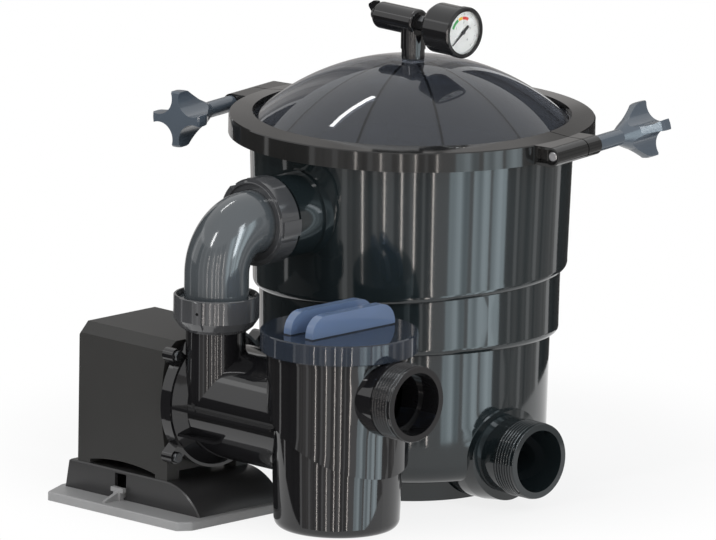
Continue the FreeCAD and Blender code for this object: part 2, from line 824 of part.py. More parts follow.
def gauge_case():
    x0, x1 = gauge_back_x, gauge_front_x - bezel_front
    rim_x = x1 - bezel_depth
    wall = gauge_r - gauge_inner_r
    outer = turned([(0, x0), (gauge_back_r, x0), (gauge_r - 2.5, gauge_shoulder_x - 3),
                    (gauge_r, gauge_shoulder_x + 1),
                    (gauge_r, rim_x), (gauge_rim_r, rim_x), (gauge_rim_r, x1), (0, x1)])
    inner = turned([(0, x0 + gauge_back_wall), (gauge_back_r - wall, x0 + gauge_back_wall),
                    (gauge_inner_r - 2.5, gauge_shoulder_x - 1), (gauge_inner_r, gauge_shoulder_x + 2),
                    (gauge_inner_r, x1 + 1), (0, x1 + 1)])
    return on_gauge(outer.cut(inner).cut(cyl(socket_stem_r + seat, 10, V(0, 0, x0 - 1))))


def gauge_bezel():
    x1 = gauge_front_x
    x0 = x1 - bezel_front - bezel_depth
    inner = gauge_rim_r + seat
    ring = turned([(inner, x0), (bezel_r - 0.4, x0), (bezel_r, x0 + 0.4), (bezel_r, x1 - 1.2),
                   (bezel_r - 1.2, x1),
                   (bezel_inner_r, x1 - 0.4), (bezel_inner_r, x1 - bezel_front), (inner, x1 - bezel_front)])
    return on_gauge(ring)


def gauge_lens():
    x1 = gauge_front_x - bezel_front - seat
    return on_gauge(cyl(gauge_inner_r - running, lens_thick, V(0, 0, x1 - lens_thick)))


def gauge_dial():
    dial = cyl(gauge_inner_r - running, dial_thick, V(0, 0, dial_x))
    return on_gauge(dial.cut(cyl(arbor_r + 0.6, 5, V(0, 0, dial_x - 1))))


def gauge_pointer():
    """Pointer with its arbor; the thin end points at the zero mark."""
    low = pointer_x
    tip, tail = pointer_tip_r, pointer_tail_r
    outline = [V(-tail, -pointer_tail_w / 2.0, low), V(-2.0, -pointer_tail_w / 2.0, low),
               V(tip, -pointer_tip_w / 2.0, low), V(tip, pointer_tip_w / 2.0, low),
               V(-2.0, pointer_tail_w / 2.0, low), V(-tail, pointer_tail_w / 2.0, low)]
    blade = Part.Face(Part.makePolygon(outline + [outline[0]])).extrude(V(0, 0, pointer_thick))
    hub = cyl(pointer_hub_r, pointer_thick + 0.6, V(0, 0, low - 0.3))
    arbor_x = dial_x - movement_depth + 4 * seat
    arbor = cyl(arbor_r, low - arbor_x, V(0, 0, arbor_x))
    piece = on_gauge(joined([blade, hub, arbor]))
    return turned_about(piece, pointer_zero_deg + 90.0, V(0, 0, tee_z), X)


def gauge_movement():
    """Movement frame: two plates on four posts behind the dial."""
    h = movement_half
    low = dial_x - movement_depth
    front = box(-h, h, -h, h, dial_x - 4.0, dial_x - 2.0)
    back = box(-h, h, -h, h, low, low + 2.0)
    posts = [cyl(1.4, movement_depth - seat, V(sx * (h - 2), sy * (h - 2), low))
             for sx in (1, -1) for sy in (1, -1)]
    frame = joined([front, back] + posts)
    return on_gauge(frame.cut(cyl(arbor_r + running, 30, V(0, 0, dial_x - 20))))


def bourdon_tube():
    """Curved pressure tube round the movement, fed from the socket."""
    ring = Part.makeTorus(bourdon_r, bourdon_tube_r, V(0, 0, bourdon_x), Z, 0, 360, 270)
    foot = cyl(bourdon_tube_r, bourdon_r, V(0, 0, bourdon_x), X)
    return on_gauge(joined([ring, foot]))


def gauge_socket():
    """Brass socket: threaded stem in the tee, hexagon, and the block that holds the tube and movement."""
    hexagon = Part.Face(Part.makePolygon([V(socket_hex * math.cos(math.radians(60 * i)),
                                            socket_hex * math.sin(math.radians(60 * i)), 0) for i in range(7)]))
    nut = hexagon.extrude(V(0, 0, gauge_back_x - tee_barrel_end - 2 * easy))
    nut.translate(V(0, 0, tee_barrel_end + easy))
    block_x = gauge_back_x + gauge_back_wall + 1.0
    stem = cyl(socket_stem_r, block_x - 3.0, V(0, 0, 4.0))
    block = box(-6, 6, -6, 6, block_x, bourdon_x - bourdon_tube_r - 1.0)
    stand = box(-4, 4, -4, 4, block_x + 1, dial_x - movement_depth - seat)
    tube_room = cyl(bourdon_tube_r + seat, 40, V(0, 0, bourdon_x), X)
    socket = joined([nut, stem, block, stand]).cut(cyl(1.2, 30, V(0, 0, 3.0)))
    return on_gauge(socket.cut(tube_room))


def union_nut_upper():
    """Nut on the tank inlet: thread at the tank side, lip behind the tail flange at the elbow side."""
    length = nut_back_y - nut_face_y
    edge = 2.0
    form = turned([(0, 0), (nut_r - edge, 0), (nut_r, edge), (nut_r, length - edge),
                   (nut_r - edge, length), (0, length)])
    pads = []
    for i in range(nut_pads):
        at = 360.0 / nut_pads * i
        pad = sector(nut_r - 2, nut_pad_r, length - 5.0, nut_pad_deg, nut_pad_turn + at)
        pad.translate(V(0, 0, 4.5))
        bar = sector(nut_r - 2, nut_bar_r, nut_bar_length, nut_bar_deg, nut_bar_turn + at)
        bar.translate(V(0, 0, 0.5))
        pads += [pad, bar]
    form = joined([form] + pads)
    chamber = length - nut_lip - nut_recess_depth
    form = form.cut([cyl(nut_thread_r, chamber + 1, V(0, 0, -1)),
                     cyl(elbow_r + easy, length + 2, V(0, 0, -1)),
                     cyl(nut_recess_r, nut_recess_depth + 1, V(0, 0, length - nut_recess_depth))])
    return aim(form, V(0, nut_back_y, inlet_z), -Y)


def union_tail_upper():
    flange = cyl(tail_flange_r, tail_flange)
    tube = cyl(tail_tube_r, tail_flange + tail_tube_length)
    tail = joined([flange, tube]).cut(cyl(tail_bore_r, 200, V(0, 0, -1)))
    return aim(tail, V(0, inlet_face_y - easy, inlet_z), -Y)


def elbow():
    """Swept 90 degree bend with straight socket legs."""
    top_y = inlet_face_y - easy - tail_flange - seat
    low_z = discharge_top + easy
    centre = V(0, elbow_y + elbow_bend_r, inlet_z - elbow_bend_r)

    def leg_and_bend(radius):
        profile = Part.Face(Part.Wire(Part.makeCircle(radius, V(0, elbow_y, centre.z), Z)))
        bend = profile.revolve(centre, X, -90)
        down = cyl(radius, centre.z - low_z, V(0, elbow_y, low_z))
        across = cyl(radius, top_y - centre.y, V(0, centre.y, inlet_z), Y)
        return joined([down, bend, across])

    body = leg_and_bend(elbow_r).cut(leg_and_bend(elbow_flow_r))
    socket_depth = tail_tube_length + 1.0
    body = body.cut(cyl(elbow_socket_r, socket_depth, V(0, top_y, inlet_z), -Y))
    return body.removeSplitter()


def discharge_collar():
    """Male-threaded collar bonded on the elbow's lower leg."""
    low = discharge_top + easy
    collar = cyl(port_thread_r, collar_top - low, V(0, elbow_y, low))
    collar = collar.cut(cyl(elbow_r + seat, 40, V(0, elbow_y, low - 1)))
    return collar


def union_nut_lower():
    """Nut on the pump discharge: lip round the pipe below, thread on the elbow collar above."""
    low, top = lower_nut_low, lower_nut_top
    height = top - low
    outer = turned([(0, 0), (lower_nut_low_r - 1, 0), (lower_nut_low_r, 0.8), (lower_nut_low_r + 4.0, 4.0),
                    (lower_nut_max_r - 1.6, 9.5), (lower_nut_max_r, 12.0), (lower_nut_max_r, height - 0.8),
                    (lower_nut_rim_r, height), (0, height)])
    lip = lower_nut_lip
    inner = turned([(0, -1), (discharge_r + easy, -1), (discharge_r + easy, lip), (nut_thread_r, lip),
                    (nut_thread_r, height - 3), (nut_thread_r + 2.5, height + 0.1), (0, height + 0.1)])
    nut = outer.cut(inner)
    tab_out = lower_nut_max_r + lock_tab_reach
    tab = box(nut_thread_r + 2, tab_out, -lock_tab_w / 2.0, lock_tab_w / 2.0, 5.0, height - 1.0)
    slope = turned([(0, 0.8), (lower_nut_low_r + lock_tab_reach, 0.8),
                    (lower_nut_low_r + 4.0 + lock_tab_reach, 4.0),
                    (tab_out - 1.6, 9.5), (tab_out, 12.0), (tab_out, height), (0, height)])
    tab = tab.common(slope)
    hole = cyl(lock_hole_r, 6.0, V(tab_out - 5.0, 0, lock_hole_z - low), X)
    nut = joined([nut, turned_about(tab, lock_tab_deg)]).cut(turned_about(hole, lock_tab_deg))
    nut.translate(V(0, elbow_y, low))
    return nut


def union_tail_lower():
    """Flanged ring bonded on the top of the discharge pipe."""
    low = lower_nut_low + lower_nut_lip + easy
    ring = cyl(tail_flange_r, discharge_top - low, V(0, elbow_y, low))
    ring = ring.cut(cyl(discharge_r + seat, 40, V(0, elbow_y, low - 1)))
    return ring.cut(union_groove(V(0, elbow_y, discharge_top), -Z))


def union_seal(base, axis):
    """O-ring lying in a union groove; the axis points into the grooved piece."""
    return aim(seal_ring(union_seal_r, union_seal_wire, V(0, 0, union_seal_wire)), base, axis)


def on_pump(shape, x, degrees=0.0):
    """Place a piece built along +Z on the pump axis: local X is +Y at angle 0 and up at angle 90."""
    moved = shape.copy()
    turn = FreeCAD.Rotation(Y, Z, X, "ZXY")
    moved.Placement = FreeCAD.Placement(V(x, pump_y, pump_z), turn).multiply(moved.Placement)
    moved.rotate(V(x, pump_y, pump_z), X, degrees)
    return moved


def pump_cyl(radius, x0, x1):
    return cyl(radius, x1 - x0, V(x0, pump_y, pump_z), X)


def pot_form(inset):
    """Tapered pot with its slanted step; with an inset, the cavity."""
    span = 45.0
    low = pot_low_z + inset
    upper = Part.makeCone(pot_r_step - inset, pot_r_top - inset, pot_top_z - pot_step_z + span,
                          V(pot_x, pump_y, pot_step_z - span), Z)
    upper = upper.common(tilted_space(pot_step_z + inset, -pot_step_tilt, pot_x, pump_y))
    lower = Part.makeCone(pot_r_low - inset, pot_r_below - inset, pot_top_z - 20.0 - low,
                          V(pot_x, pump_y, low), Z)
    foot = [e for e in lower.Edges if e.Closed and e.BoundBox.ZMax < low + 0.1]
    lower = lower.makeFillet(max(pot_low_round - inset, 2.0), foot)
    return joined([upper, lower])


def ear(thickness):
    """Bolt ear on the rim of a pump flange, with its bolt hole left for later."""
    lobe = cyl(ear_r, thickness, V(ear_circle_r, 0, 0))
    web = box(ear_circle_r - 20, ear_circle_r, -ear_r, ear_r, 0, thickness)
    return joined([lobe, web])


def pump_outer():
    """Outside of the wet end: volute, flange, discharge pipe, ribs, pot, suction and drain bosses."""
    flange_x = wet_flange_x
    thick = wet_flange_wall
    volute = pump_cyl(volute_r, flange_x, pot_x)
    flange = pump_cyl(wet_flange_r, flange_x, flange_x + thick)
    shoulder = Part.makeCone(wet_flange_r - 3.0, volute_r, wet_shoulder,
                             V(flange_x + thick, pump_y, pump_z), X)
    pipe = cyl(discharge_r, discharge_top - pump_z, V(0, elbow_y, pump_z))
    pipe = pipe.cut(box(-100, flange_x, elbow_y - 60, elbow_y + 60, 0, discharge_top - 20))
    rib_half = split_rib_h / 2.0
    rib = box(flange_x, split_rib_end, pump_y - split_rib_reach, pump_y + split_rib_reach,
              pump_z - rib_half, pump_z + rib_half)
    low_z = pump_z - low_rib_drop
    low_rib = box(low_rib_start, low_rib_end, pump_y - low_rib_reach, pump_y + low_rib_reach,
                  low_z - rib_half, low_z + rib_half)
    ears = [on_pump(ear(thick), flange_x, degrees) for degrees in ear_degrees]
    lid_room = cyl(strainer_lid_r + 2 * easy, far, V(pot_x, pump_y, strainer_skirt_low - easy))
    suction = [cyl(suction_collar_r, suction_collar_end - pot_x, V(pot_x, pump_y, suction_z),
                   X).cut(lid_room),
               cyl(port_thread_r, suction_face_x - pot_x, V(pot_x, pump_y, suction_z), X).cut(lid_room)]
    drain = cyl(drain_boss_r, drain_boss_end, V(pot_x, pump_y, drain_z), Y)
    rim = cyl(pot_r_top + pot_rim_lip, pot_rim_h, V(pot_x, pump_y, strainer_skirt_low - easy - pot_rim_h))
    return joined([volute, flange, shoulder, pipe, rib, low_rib, pot_form(0.0), rim, drain] + ears + suction)


def pump_hollows():
    """Everything cut from the wet end: impeller chamber, throat, passages, pot cavity and bores."""
    flange_x = wet_flange_x
    throat_x = chamber_x1 + throat_length
    return [pump_cyl(volute_r - volute_wall, flange_x - 1, chamber_x1),
            pump_cyl(impeller_neck_r + easy, chamber_x1 - 1, throat_x),
            pump_cyl(transfer_r, throat_x - 0.5, pot_x),
            cyl(discharge_bore_r, discharge_top - pump_z, V(0, elbow_y, pump_z + 1)),
            pot_form(pot_wall),
            cyl(suction_inner_r, 130, V(pot_x + 40, pump_y, suction_z), X),
            cyl(port_bore_r, suction_mouth_depth + 5, V(suction_face_x - suction_mouth_depth, pump_y,
                                                        suction_z), X),
            cyl(drain_thread_r + running, 60, V(pot_x, pump_y + 30, drain_z), Y)]


def pump_body():
    """One moulding: volute, discharge pipe, suction body and strainer pot."""
    body = pump_outer().cut(pump_hollows())
    band = cyl(pot_r_top - 1.0, pot_collar_h, V(pot_x, pump_y, pot_top_z - pot_collar_h))
    band = band.cut(cyl(pot_mouth_r, pot_collar_h + 2, V(pot_x, pump_y, pot_top_z - pot_collar_h - 1)))
    body = body.fuse(band)
    half = strainer_seal_wire + groove_slack
    groove = cyl(strainer_seal_r + half, 10, V(pot_x, pump_y, pot_top_z - 2 * strainer_seal_wire))
    groove = groove.cut(cyl(strainer_seal_r - half, 20, V(pot_x, pump_y, pot_top_z - 10)))
    seat_cut = cyl(basket_rim_r + easy, 20, V(pot_x, pump_y, basket_seat_z))
    holes = [on_pump(cyl(wet_bolt_r + running, 60, V(ear_circle_r, 0, -20)), wet_flange_x, degrees)
             for degrees in ear_degrees]
    return body.cut([groove, seat_cut] + holes).removeSplitter()


def strainer_seal():
    z = pot_top_z - strainer_seal_wire + easy / 2.0
    return seal_ring(strainer_seal_r, strainer_seal_wire, V(pot_x, pump_y, z))


def lid_bar(offset):
    """Finger bar along Y with round ends, standing on the lid."""
    half = bar_length / 2.0
    low = strainer_lid_top - 1.0
    top = strainer_lid_top + bar_h
    bar = box(offset - bar_w / 2.0, offset + bar_w / 2.0, -half, half, low, top)
    corners = [e for e in bar.Edges if abs(e.BoundBox.ZMin - top) < 0.01 and e.BoundBox.YLength < 0.01]
    bar = bar.makeFillet(bar_round, corners)
    bar.translate(V(pot_x, pump_y, 0))
    return bar


def strainer_lid():
    """Clear lid: flat top, skirt over the pot and two finger bars."""
    top = strainer_lid_top
    edge = strainer_lid_bevel
    skirt_in = pot_r_top + lid_skirt_gap
    under = pot_top_z + easy
    cap = turned([(0, under), (skirt_in, under), (skirt_in, strainer_skirt_low),
                  (strainer_lid_r - 0.8, strainer_skirt_low),
                  (strainer_lid_r, strainer_skirt_low + 0.8), (strainer_lid_r, top - edge),
                  (strainer_lid_r - edge, top),
                  (0, top)])
    cap.translate(V(pot_x, pump_y, 0))
    return joined([cap] + [lid_bar(side * bar_offset) for side in (1, -1)])


def strainer_basket():
    """Tapered basket with slotted wall and floor, a rim, and a wire bail folded under the lid."""
    centre = V(pot_x, pump_y, 0)
    height = basket_seat_z + basket_rim_h - basket_low_z
    outer = Part.makeCone(basket_r_low, basket_r_top, height, V(0, 0, basket_low_z))
    inner = Part.makeCone(basket_r_low - basket_wall, basket_r_top - basket_wall, height,
                          V(0, 0, basket_low_z + basket_wall))
    rim = cyl(basket_rim_r, basket_rim_h, V(0, 0, basket_seat_z + seat))
    basket = joined([outer, rim]).cut([inner, cyl(basket_r_top - basket_wall, 20, V(0, 0, basket_seat_z))])
    slots = []
    for row in range(basket_slot_rows):
        z = basket_low_z + 10.0 + basket_slot_pitch * row
        for i in range(basket_slots // 2):
            slot = box(-90, 90, -basket_slot_w / 2.0, basket_slot_w / 2.0, z, z + basket_slot_h)
            slots.append(turned_about(slot, 360.0 / basket_slots * i))
    for i in range(-4, 5):
        slots.append(box(-34, 34, i * 9.0 - basket_slot_w / 2.0, i * 9.0 + basket_slot_w / 2.0,
                         basket_low_z - 1, basket_low_z + basket_wall + 1))
    basket = basket.cut(slots)
    mouth = cyl(port_bore_r + 1.0, 90, V(40, 0, suction_z), X)
    basket = basket.cut(mouth)
    basket.translate(centre)
    return basket


def seal_plate():
    """Plate that closes the volute: ears, shaft seal pocket and the ring that seats on the motor."""
    x1 = wet_flange_x - seat
    x0 = x1 - seal_plate_wall
    disc = pump_cyl(seal_plate_r, x0, x1)
    ears = [on_pump(ear(seal_plate_wall), x0, degrees) for degrees in ear_degrees]
    hub = pump_cyl(seal_hub_r, x0 - seal_hub_length, x1)
    ring_x = motor_front_x + seat
    ring = pump_cyl(motor_shell_r + 2.0, ring_x, x0 + 1)
    ring = ring.cut(pump_cyl(motor_shell_r - 3.0, ring_x - 1, x0 + 2))
    plate = joined([disc, hub, ring] + ears)
    half = strainer_seal_wire + groove_slack
    groove = pump_cyl(plate_seal_r + half, x1 - 2 * strainer_seal_wire, x1 + 1)
    groove = groove.cut(pump_cyl(plate_seal_r - half, x1 - 20, x1 + 5))
    pocket = pump_cyl(seal_pocket_r, x1 - seal_pocket_depth, x1 + 1)
    holes = [on_pump(cyl(wet_bolt_r - 0.3, 60, V(ear_circle_r, 0, -20)), wet_flange_x, degrees)
             for degrees in ear_degrees]
    return plate.cut([groove, pocket, pump_cyl(shaft_r + 1.0, x0 - 40, x1 + 1)] + holes)


def plate_seal():
    x = wet_flange_x - seat - strainer_seal_wire
    return seal_ring(plate_seal_r, strainer_seal_wire - seat, V(x, pump_y, pump_z), X)


def wet_end_bolts():
    """Bolts through the ears from the wet side, threaded into the seal plate."""
    head_x = wet_flange_x + wet_flange_wall
    grip = wet_flange_wall + seat + seal_plate_wall
    bolts = []
    for degrees in ear_degrees:
        head = cyl(wet_bolt_head_r, wet_bolt_head, V(ear_circle_r, 0, 0))
        head = head.makeFillet(1.0, [e for e in head.Edges
                                     if e.Closed and e.BoundBox.ZMin > wet_bolt_head - 0.1])
        shank = cyl(wet_bolt_r - 0.35, grip, V(ear_circle_r, 0, -grip))
        bolts.append(on_pump(joined([head, shank]), head_x, degrees))
    return Part.makeCompound(bolts)


def impeller():
    """Closed impeller: back shroud and hub, curved vanes, and a front shroud with its eye."""
    back = cyl(impeller_r, impeller_shroud)
    hub = cyl(impeller_hub_r, impeller_shroud + impeller_vane_h)
    front_z = impeller_shroud + impeller_vane_h
    front = cyl(impeller_r, impeller_shroud, V(0, 0, front_z))
    neck = cyl(impeller_neck_r, impeller_shroud + impeller_neck, V(0, 0, front_z))
    front = joined([front, neck]).cut(cyl(impeller_neck_r - 2.5, 40, V(0, 0, front_z - 1)))
    vanes = []
    for i in range(impeller_vanes):
        curve = impeller_r * 0.62
        ring = cyl(curve, impeller_vane_h + 1, V(curve * 0.92, 0, impeller_shroud - 0.5))
        ring = ring.cut(cyl(curve - impeller_vane_t, 40, V(curve * 0.92, 0, 0)))
        ring = ring.common(box(-60, 60, 0, 60, 0, 40)).common(cyl(impeller_r - 0.2, 40))
        vanes.append(turned_about(ring.cut(cyl(impeller_hub_r - 1, 40)), 360.0 / impeller_vanes * i))
    wheel = joined([back, hub, front] + vanes)
    wheel = wheel.cut(cyl(shaft_r, impeller_shroud + impeller_vane_h + 2, V(0, 0, -1)))
    return on_pump(wheel, impeller_x)


def seal_seat():
    """Fixed ring of the shaft seal at the bottom of its pocket."""
    x0 = wet_flange_x - seat - seal_pocket_depth + seat
    ring = pump_cyl(seal_pocket_r - running, x0, x0 + seal_seat_length)
    return ring.cut(pump_cyl(shaft_r + 1.0, x0 - 1, x0 + 30))


def seal_head():
    """Turning half of the shaft seal: face ring and folded bellows up to the impeller."""
    x0 = wet_flange_x - seal_pocket_depth + seal_seat_length + seat
    length = impeller_x - x0
    fold = 2.6
    points = [(shaft_r, 0), (shaft_r + 4.5, 0), (shaft_r + 4.5, 3.0)]
    z = 3.0
    while z + fold < length:
        points += [(shaft_r + 2.0, z + fold * 0.5), (shaft_r + 5.0, z + fold)]
        z += fold
    points += [(shaft_r + 5.0, length), (shaft_r, length)]
    return on_pump(turned(points), x0)


def motor_shaft():
    """Stepped shaft from the cooling fan to the impeller nut."""
    shaft = pump_cyl(shaft_r, fan_x - 2.0, impeller_x + impeller_shroud + impeller_vane_h)
    tip = pump_cyl(shaft_r - 1.5, fan_x - 2.0, shaft_front_x)
    nut_r, nut_h = shaft_nut_r, shaft_nut_length
    nut = on_pump(turned([(0, 0), (nut_r, 0), (nut_r, 3.0), (nut_r - 3.5, nut_h - 1.5),
                          (nut_r - 7.0, nut_h), (0, nut_h)]),
                  impeller_x + impeller_shroud + impeller_vane_h)
    return joined([shaft, tip, nut])


def motor_rotor():
    half = stator_length / 2.0
    core = pump_cyl(rotor_r, stator_mid_x - half, stator_mid_x + half)
    rings = [pump_cyl(rotor_r - 2.0, stator_mid_x - half - 4, stator_mid_x + half + 4)]
    rotor = joined([core] + rings)
    return rotor.cut(pump_cyl(shaft_r, stator_mid_x - 60, stator_mid_x + 60))


def stator_core():
    """Laminated ring with slots that hold the windings."""
    half = stator_length / 2.0
    ring = pump_cyl(stator_r, stator_mid_x - half, stator_mid_x + half)
    ring = ring.cut(pump_cyl(stator_bore_r, stator_mid_x - 60, stator_mid_x + 60))
    slots = [on_pump(box(stator_bore_r + 2.0, stator_bore_r + 2.0 + slot_depth, -slot_w / 2.0, slot_w / 2.0,
                         -1, stator_length + 1), stator_mid_x - half, 360.0 / stator_slots * i)
             for i in range(stator_slots)]
    return ring.cut(slots)


def stator_windings():
    """Coil heads at both ends with the coil sides that fill the slots."""
    half = stator_length / 2.0
    end = winding_overhang
    heads = []
    for x0 in (stator_mid_x - half - end, stator_mid_x + half + seat):
        head = pump_cyl(winding_r, x0, x0 + end - seat).cut(pump_cyl(winding_bore_r, x0 - 1, x0 + end + 1))
        heads.append(head)
    inset = running
    sides = [on_pump(box(stator_bore_r + 3.0, stator_bore_r + 2.0 + slot_depth - inset, -slot_w / 2.0 + inset,
                         slot_w / 2.0 - inset, 0, stator_length + 2 * end - 2), stator_mid_x - half - end + 1,
                     360.0 / stator_slots * i)
             for i in range(stator_slots)]
    return joined(heads + sides)


def bearing(x0):
    """Ball bearing as two rings and a filled track, held in the shield."""
    ring = pump_cyl(bearing_outer_r, x0, x0 + bearing_w).cut(pump_cyl(shaft_r + running, x0 - 1, x0 + 20))
    track = pump_cyl(bearing_outer_r - 3.0, x0 - 1, x0 + 0.8).cut(pump_cyl(shaft_r + 2.5, x0 - 2, x0 + 2))
    back = pump_cyl(bearing_outer_r - 3.0, x0 + bearing_w - 0.8, x0 + bearing_w + 1)
    back = back.cut(pump_cyl(shaft_r + 2.5, x0, x0 + 20))
    return ring.cut([track, back])


def end_shield(front):
    """Motor end shield with a spigot in the shell and a bearing pocket."""
    wall = shield_wall
    if front:
        x0, x1 = motor_front_x - wall, motor_front_x
        hub_x0, hub_x1 = x0 - bearing_w - 1.0, x0 + 1
        pocket_x0, pocket_x1 = hub_x0 - 1, hub_x0 + 1.0 + bearing_w
    else:
        x0, x1 = motor_rear_x, motor_rear_x + wall
        hub_x0, hub_x1 = x1 - 1, x1 + bearing_w + 1.0
        pocket_x0, pocket_x1 = x1, hub_x1 + 1
    disc = pump_cyl(motor_shell_r, x0, x1)
    spigot_x0, spigot_x1 = (x0 - 4, x0 + 1) if front else (x1 - 1, x1 + 4)
    spigot = pump_cyl(motor_shell_r - motor_shell_wall - seat, spigot_x0, spigot_x1)
    spigot = spigot.cut(pump_cyl(motor_shell_r - motor_shell_wall - 3.0, spigot_x0 - 1, spigot_x1 + 1))
    hub = pump_cyl(bearing_outer_r + 4.0, hub_x0, hub_x1)
    shield = joined([disc, spigot, hub]).cut(pump_cyl(bearing_outer_r + seat, pocket_x0, pocket_x1))
    return shield.cut(pump_cyl(shaft_r + 1.0, x0 - 40, x1 + 40))


def motor_shell():
    x0 = motor_rear_x + shield_wall + seat
    x1 = motor_front_x - shield_wall - seat
    shell = pump_cyl(motor_shell_r, x0, x1)
    return shell.cut(pump_cyl(motor_shell_r - motor_shell_wall, x0 - 1, x1 + 1))


def cooling_fan():
    """Fan on the shaft's rear end: hub, back disc and straight blades."""
    hub = cyl(fan_hub_r, fan_blade_w)
    disc = cyl(fan_r, fan_blade_t)
    blade = box(fan_hub_r - 1, fan_r - 1, -fan_blade_t / 2.0, fan_blade_t / 2.0, 0, fan_blade_w)
    blades = [turned_about(blade, 360.0 / fan_blades * i) for i in range(fan_blades)]
    fan = joined([hub, disc] + blades).cut(cyl(shaft_r, 60, V(0, 0, -5)))
    return on_pump(fan, fan_x)


def cover_block(inset):
    """Square housing form with chamfered upper edges and a dished front, shrunk by the inset."""
    x0 = motor_cover_x0 + inset
    x1 = motor_cover_end_x
    half = motor_cover_half_y - inset
    top = motor_cover_z1 - inset
    low = motor_cover_z0 if inset == 0 else motor_cover_z0 - 5.0
    block = box(x0, x1, pump_y - half, pump_y + half, low, top)
    long_edges = [e for e in block.Edges if abs(e.BoundBox.ZMin - top) < 0.01 and e.BoundBox.YLength < 0.01]
    block = block.makeChamfer(motor_cover_chamfer - inset * 0.5, long_edges)
    rise = motor_cover_z1 - pump_z
    dish_r = (rise ** 2 + motor_cover_dish ** 2) / (2 * motor_cover_dish)
    centre_x = motor_cover_end_x - motor_cover_dish + dish_r
    dish = cyl(dish_r + inset, 4 * half, V(centre_x, pump_y - 2 * half, pump_z), Y)
    return block.cut(dish)


def motor_cover():
    """Moulded cover over the motor, open below, with an opening for the motor's front and rear air slots."""
    outer = cover_block(0.0)
    rear_top = [e for e in outer.Edges
                if e.BoundBox.XMax < motor_cover_x0 + 0.1 and e.BoundBox.ZMin > motor_cover_z0 + 1]
    outer = outer.makeFillet(2.5, rear_top)
    cover = outer.cut(cover_block(motor_cover_wall))
    cover = cover.cut(pump_cyl(motor_shell_r + 3.0, motor_front_x - 30, motor_front_x + 40))
    slots = []
    for i in range(vent_slots):
        z = pump_z + (i - (vent_slots - 1) / 2.0) * vent_slot_pitch
        slots.append(box(motor_cover_x0 - 5, motor_cover_x0 + 8, pump_y - vent_half, pump_y + vent_half,
                         z - vent_slot_w / 2.0, z + vent_slot_w / 2.0))
    cover = cover.cut(slots + [cover_arch()])
    reach = cover_screw_inset + screw_boss_r
    bosses = []
    for x, y in cover_screw_places():
        side_y = 1 if y > pump_y else -1
        side_x = 1 if x > stator_mid_x else -1
        boss = box(-screw_boss_r, reach, -screw_boss_r, reach, motor_cover_z0, motor_cover_z0 + cover_boss_h)
        if side_x < 0:
            boss = boss.mirror(ZERO, X)
        if side_y < 0:
            boss = boss.mirror(ZERO, Y)
        boss.translate(V(x, y, 0))
        bosses.append(boss.common(outer))
    cover = joined([cover] + bosses)
    holes = [cyl(screw_r + seat, cover_boss_h - 2, V(x, y, motor_cover_z0 - 1))
             for x, y in cover_screw_places()]
    return cover.cut(holes)


def cover_arch():
    """Space under the shallow arch in the lower edge of the cover's sides."""
    half = (motor_cover_end_x - motor_cover_x0) / 2.0
    radius = (half ** 2 + motor_cover_arch ** 2) / (2 * motor_cover_arch)
    centre = V(motor_cover_x0 + half, pump_y - far / 2.0, motor_cover_z0 + motor_cover_arch - radius)
    return cyl(radius, far, centre, Y)


def cover_screw_places():
    inset = cover_screw_inset
    half = motor_cover_half_y - inset
    return [(x, pump_y + side * half)
            for x in (motor_cover_x0 + inset, motor_cover_end_x - inset)
            for side in (1, -1)]


def foot_screw_places():
    return [(x, pump_y + side * foot_screw_half) for x in (foot_screw_rear_x, foot_screw_front_x)
            for side in (1, -1)]


def cover_screws():
    """Four screws up through the foot into the cover's bosses."""
    screws = []
    for x, y in cover_screw_places():
        head_z = foot_top_z - foot_shell - seat
        head = cyl(screw_head_r, screw_head, V(x, y, head_z - screw_head))
        shank = cyl(screw_r, foot_shell + cover_boss_h - 4.0, V(x, y, head_z))
        screws.append(joined([head, shank]))
    return Part.makeCompound(screws)


def foot_screws():
    """Four screws up through the plate into the foot's bosses."""
    screws = []
    for x, y in foot_screw_places():
        head = cyl(screw_head_r, screw_head, V(x, y, plate_counterbore - screw_head))
        shank = cyl(screw_r, plate_h - plate_counterbore + foot_screw_grip, V(x, y, plate_counterbore))
        screws.append(joined([head, shank]))
    return Part.makeCompound(screws)


def foot_block(inset):
    """Foot form: leaning rear wall, flat top and a long convex front, shrunk by the inset."""
    low = plate_h + seat - (5.0 if inset else 0.0)
    top = foot_top_z - inset
    half = foot_half_y - inset
    x0, x1 = foot_x0 + inset, foot_x1 - inset
    outline = [V(x0, 0, low), V(x1, 0, low), V(x1, 0, top), V(x0 + foot_wall_lean, 0, top)]
    block = Part.Face(Part.makePolygon(outline + [outline[0]])).extrude(V(0, 2 * half, 0))
    block.translate(V(0, pump_y - half, 0))
    rise = foot_top_z - plate_h - seat
    nose_r = ((foot_x1 - foot_nose_start) ** 2 + rise ** 2) / (2 * rise)
    nose = cyl(nose_r - inset, far, V(foot_nose_start, pump_y - far / 2.0, foot_top_z - nose_r), Y)
    front = box(foot_nose_start, foot_nose_start + far, pump_y - far / 2.0, pump_y + far / 2.0, -far, far)
    return block.cut(front.cut(nose)).removeSplitter()


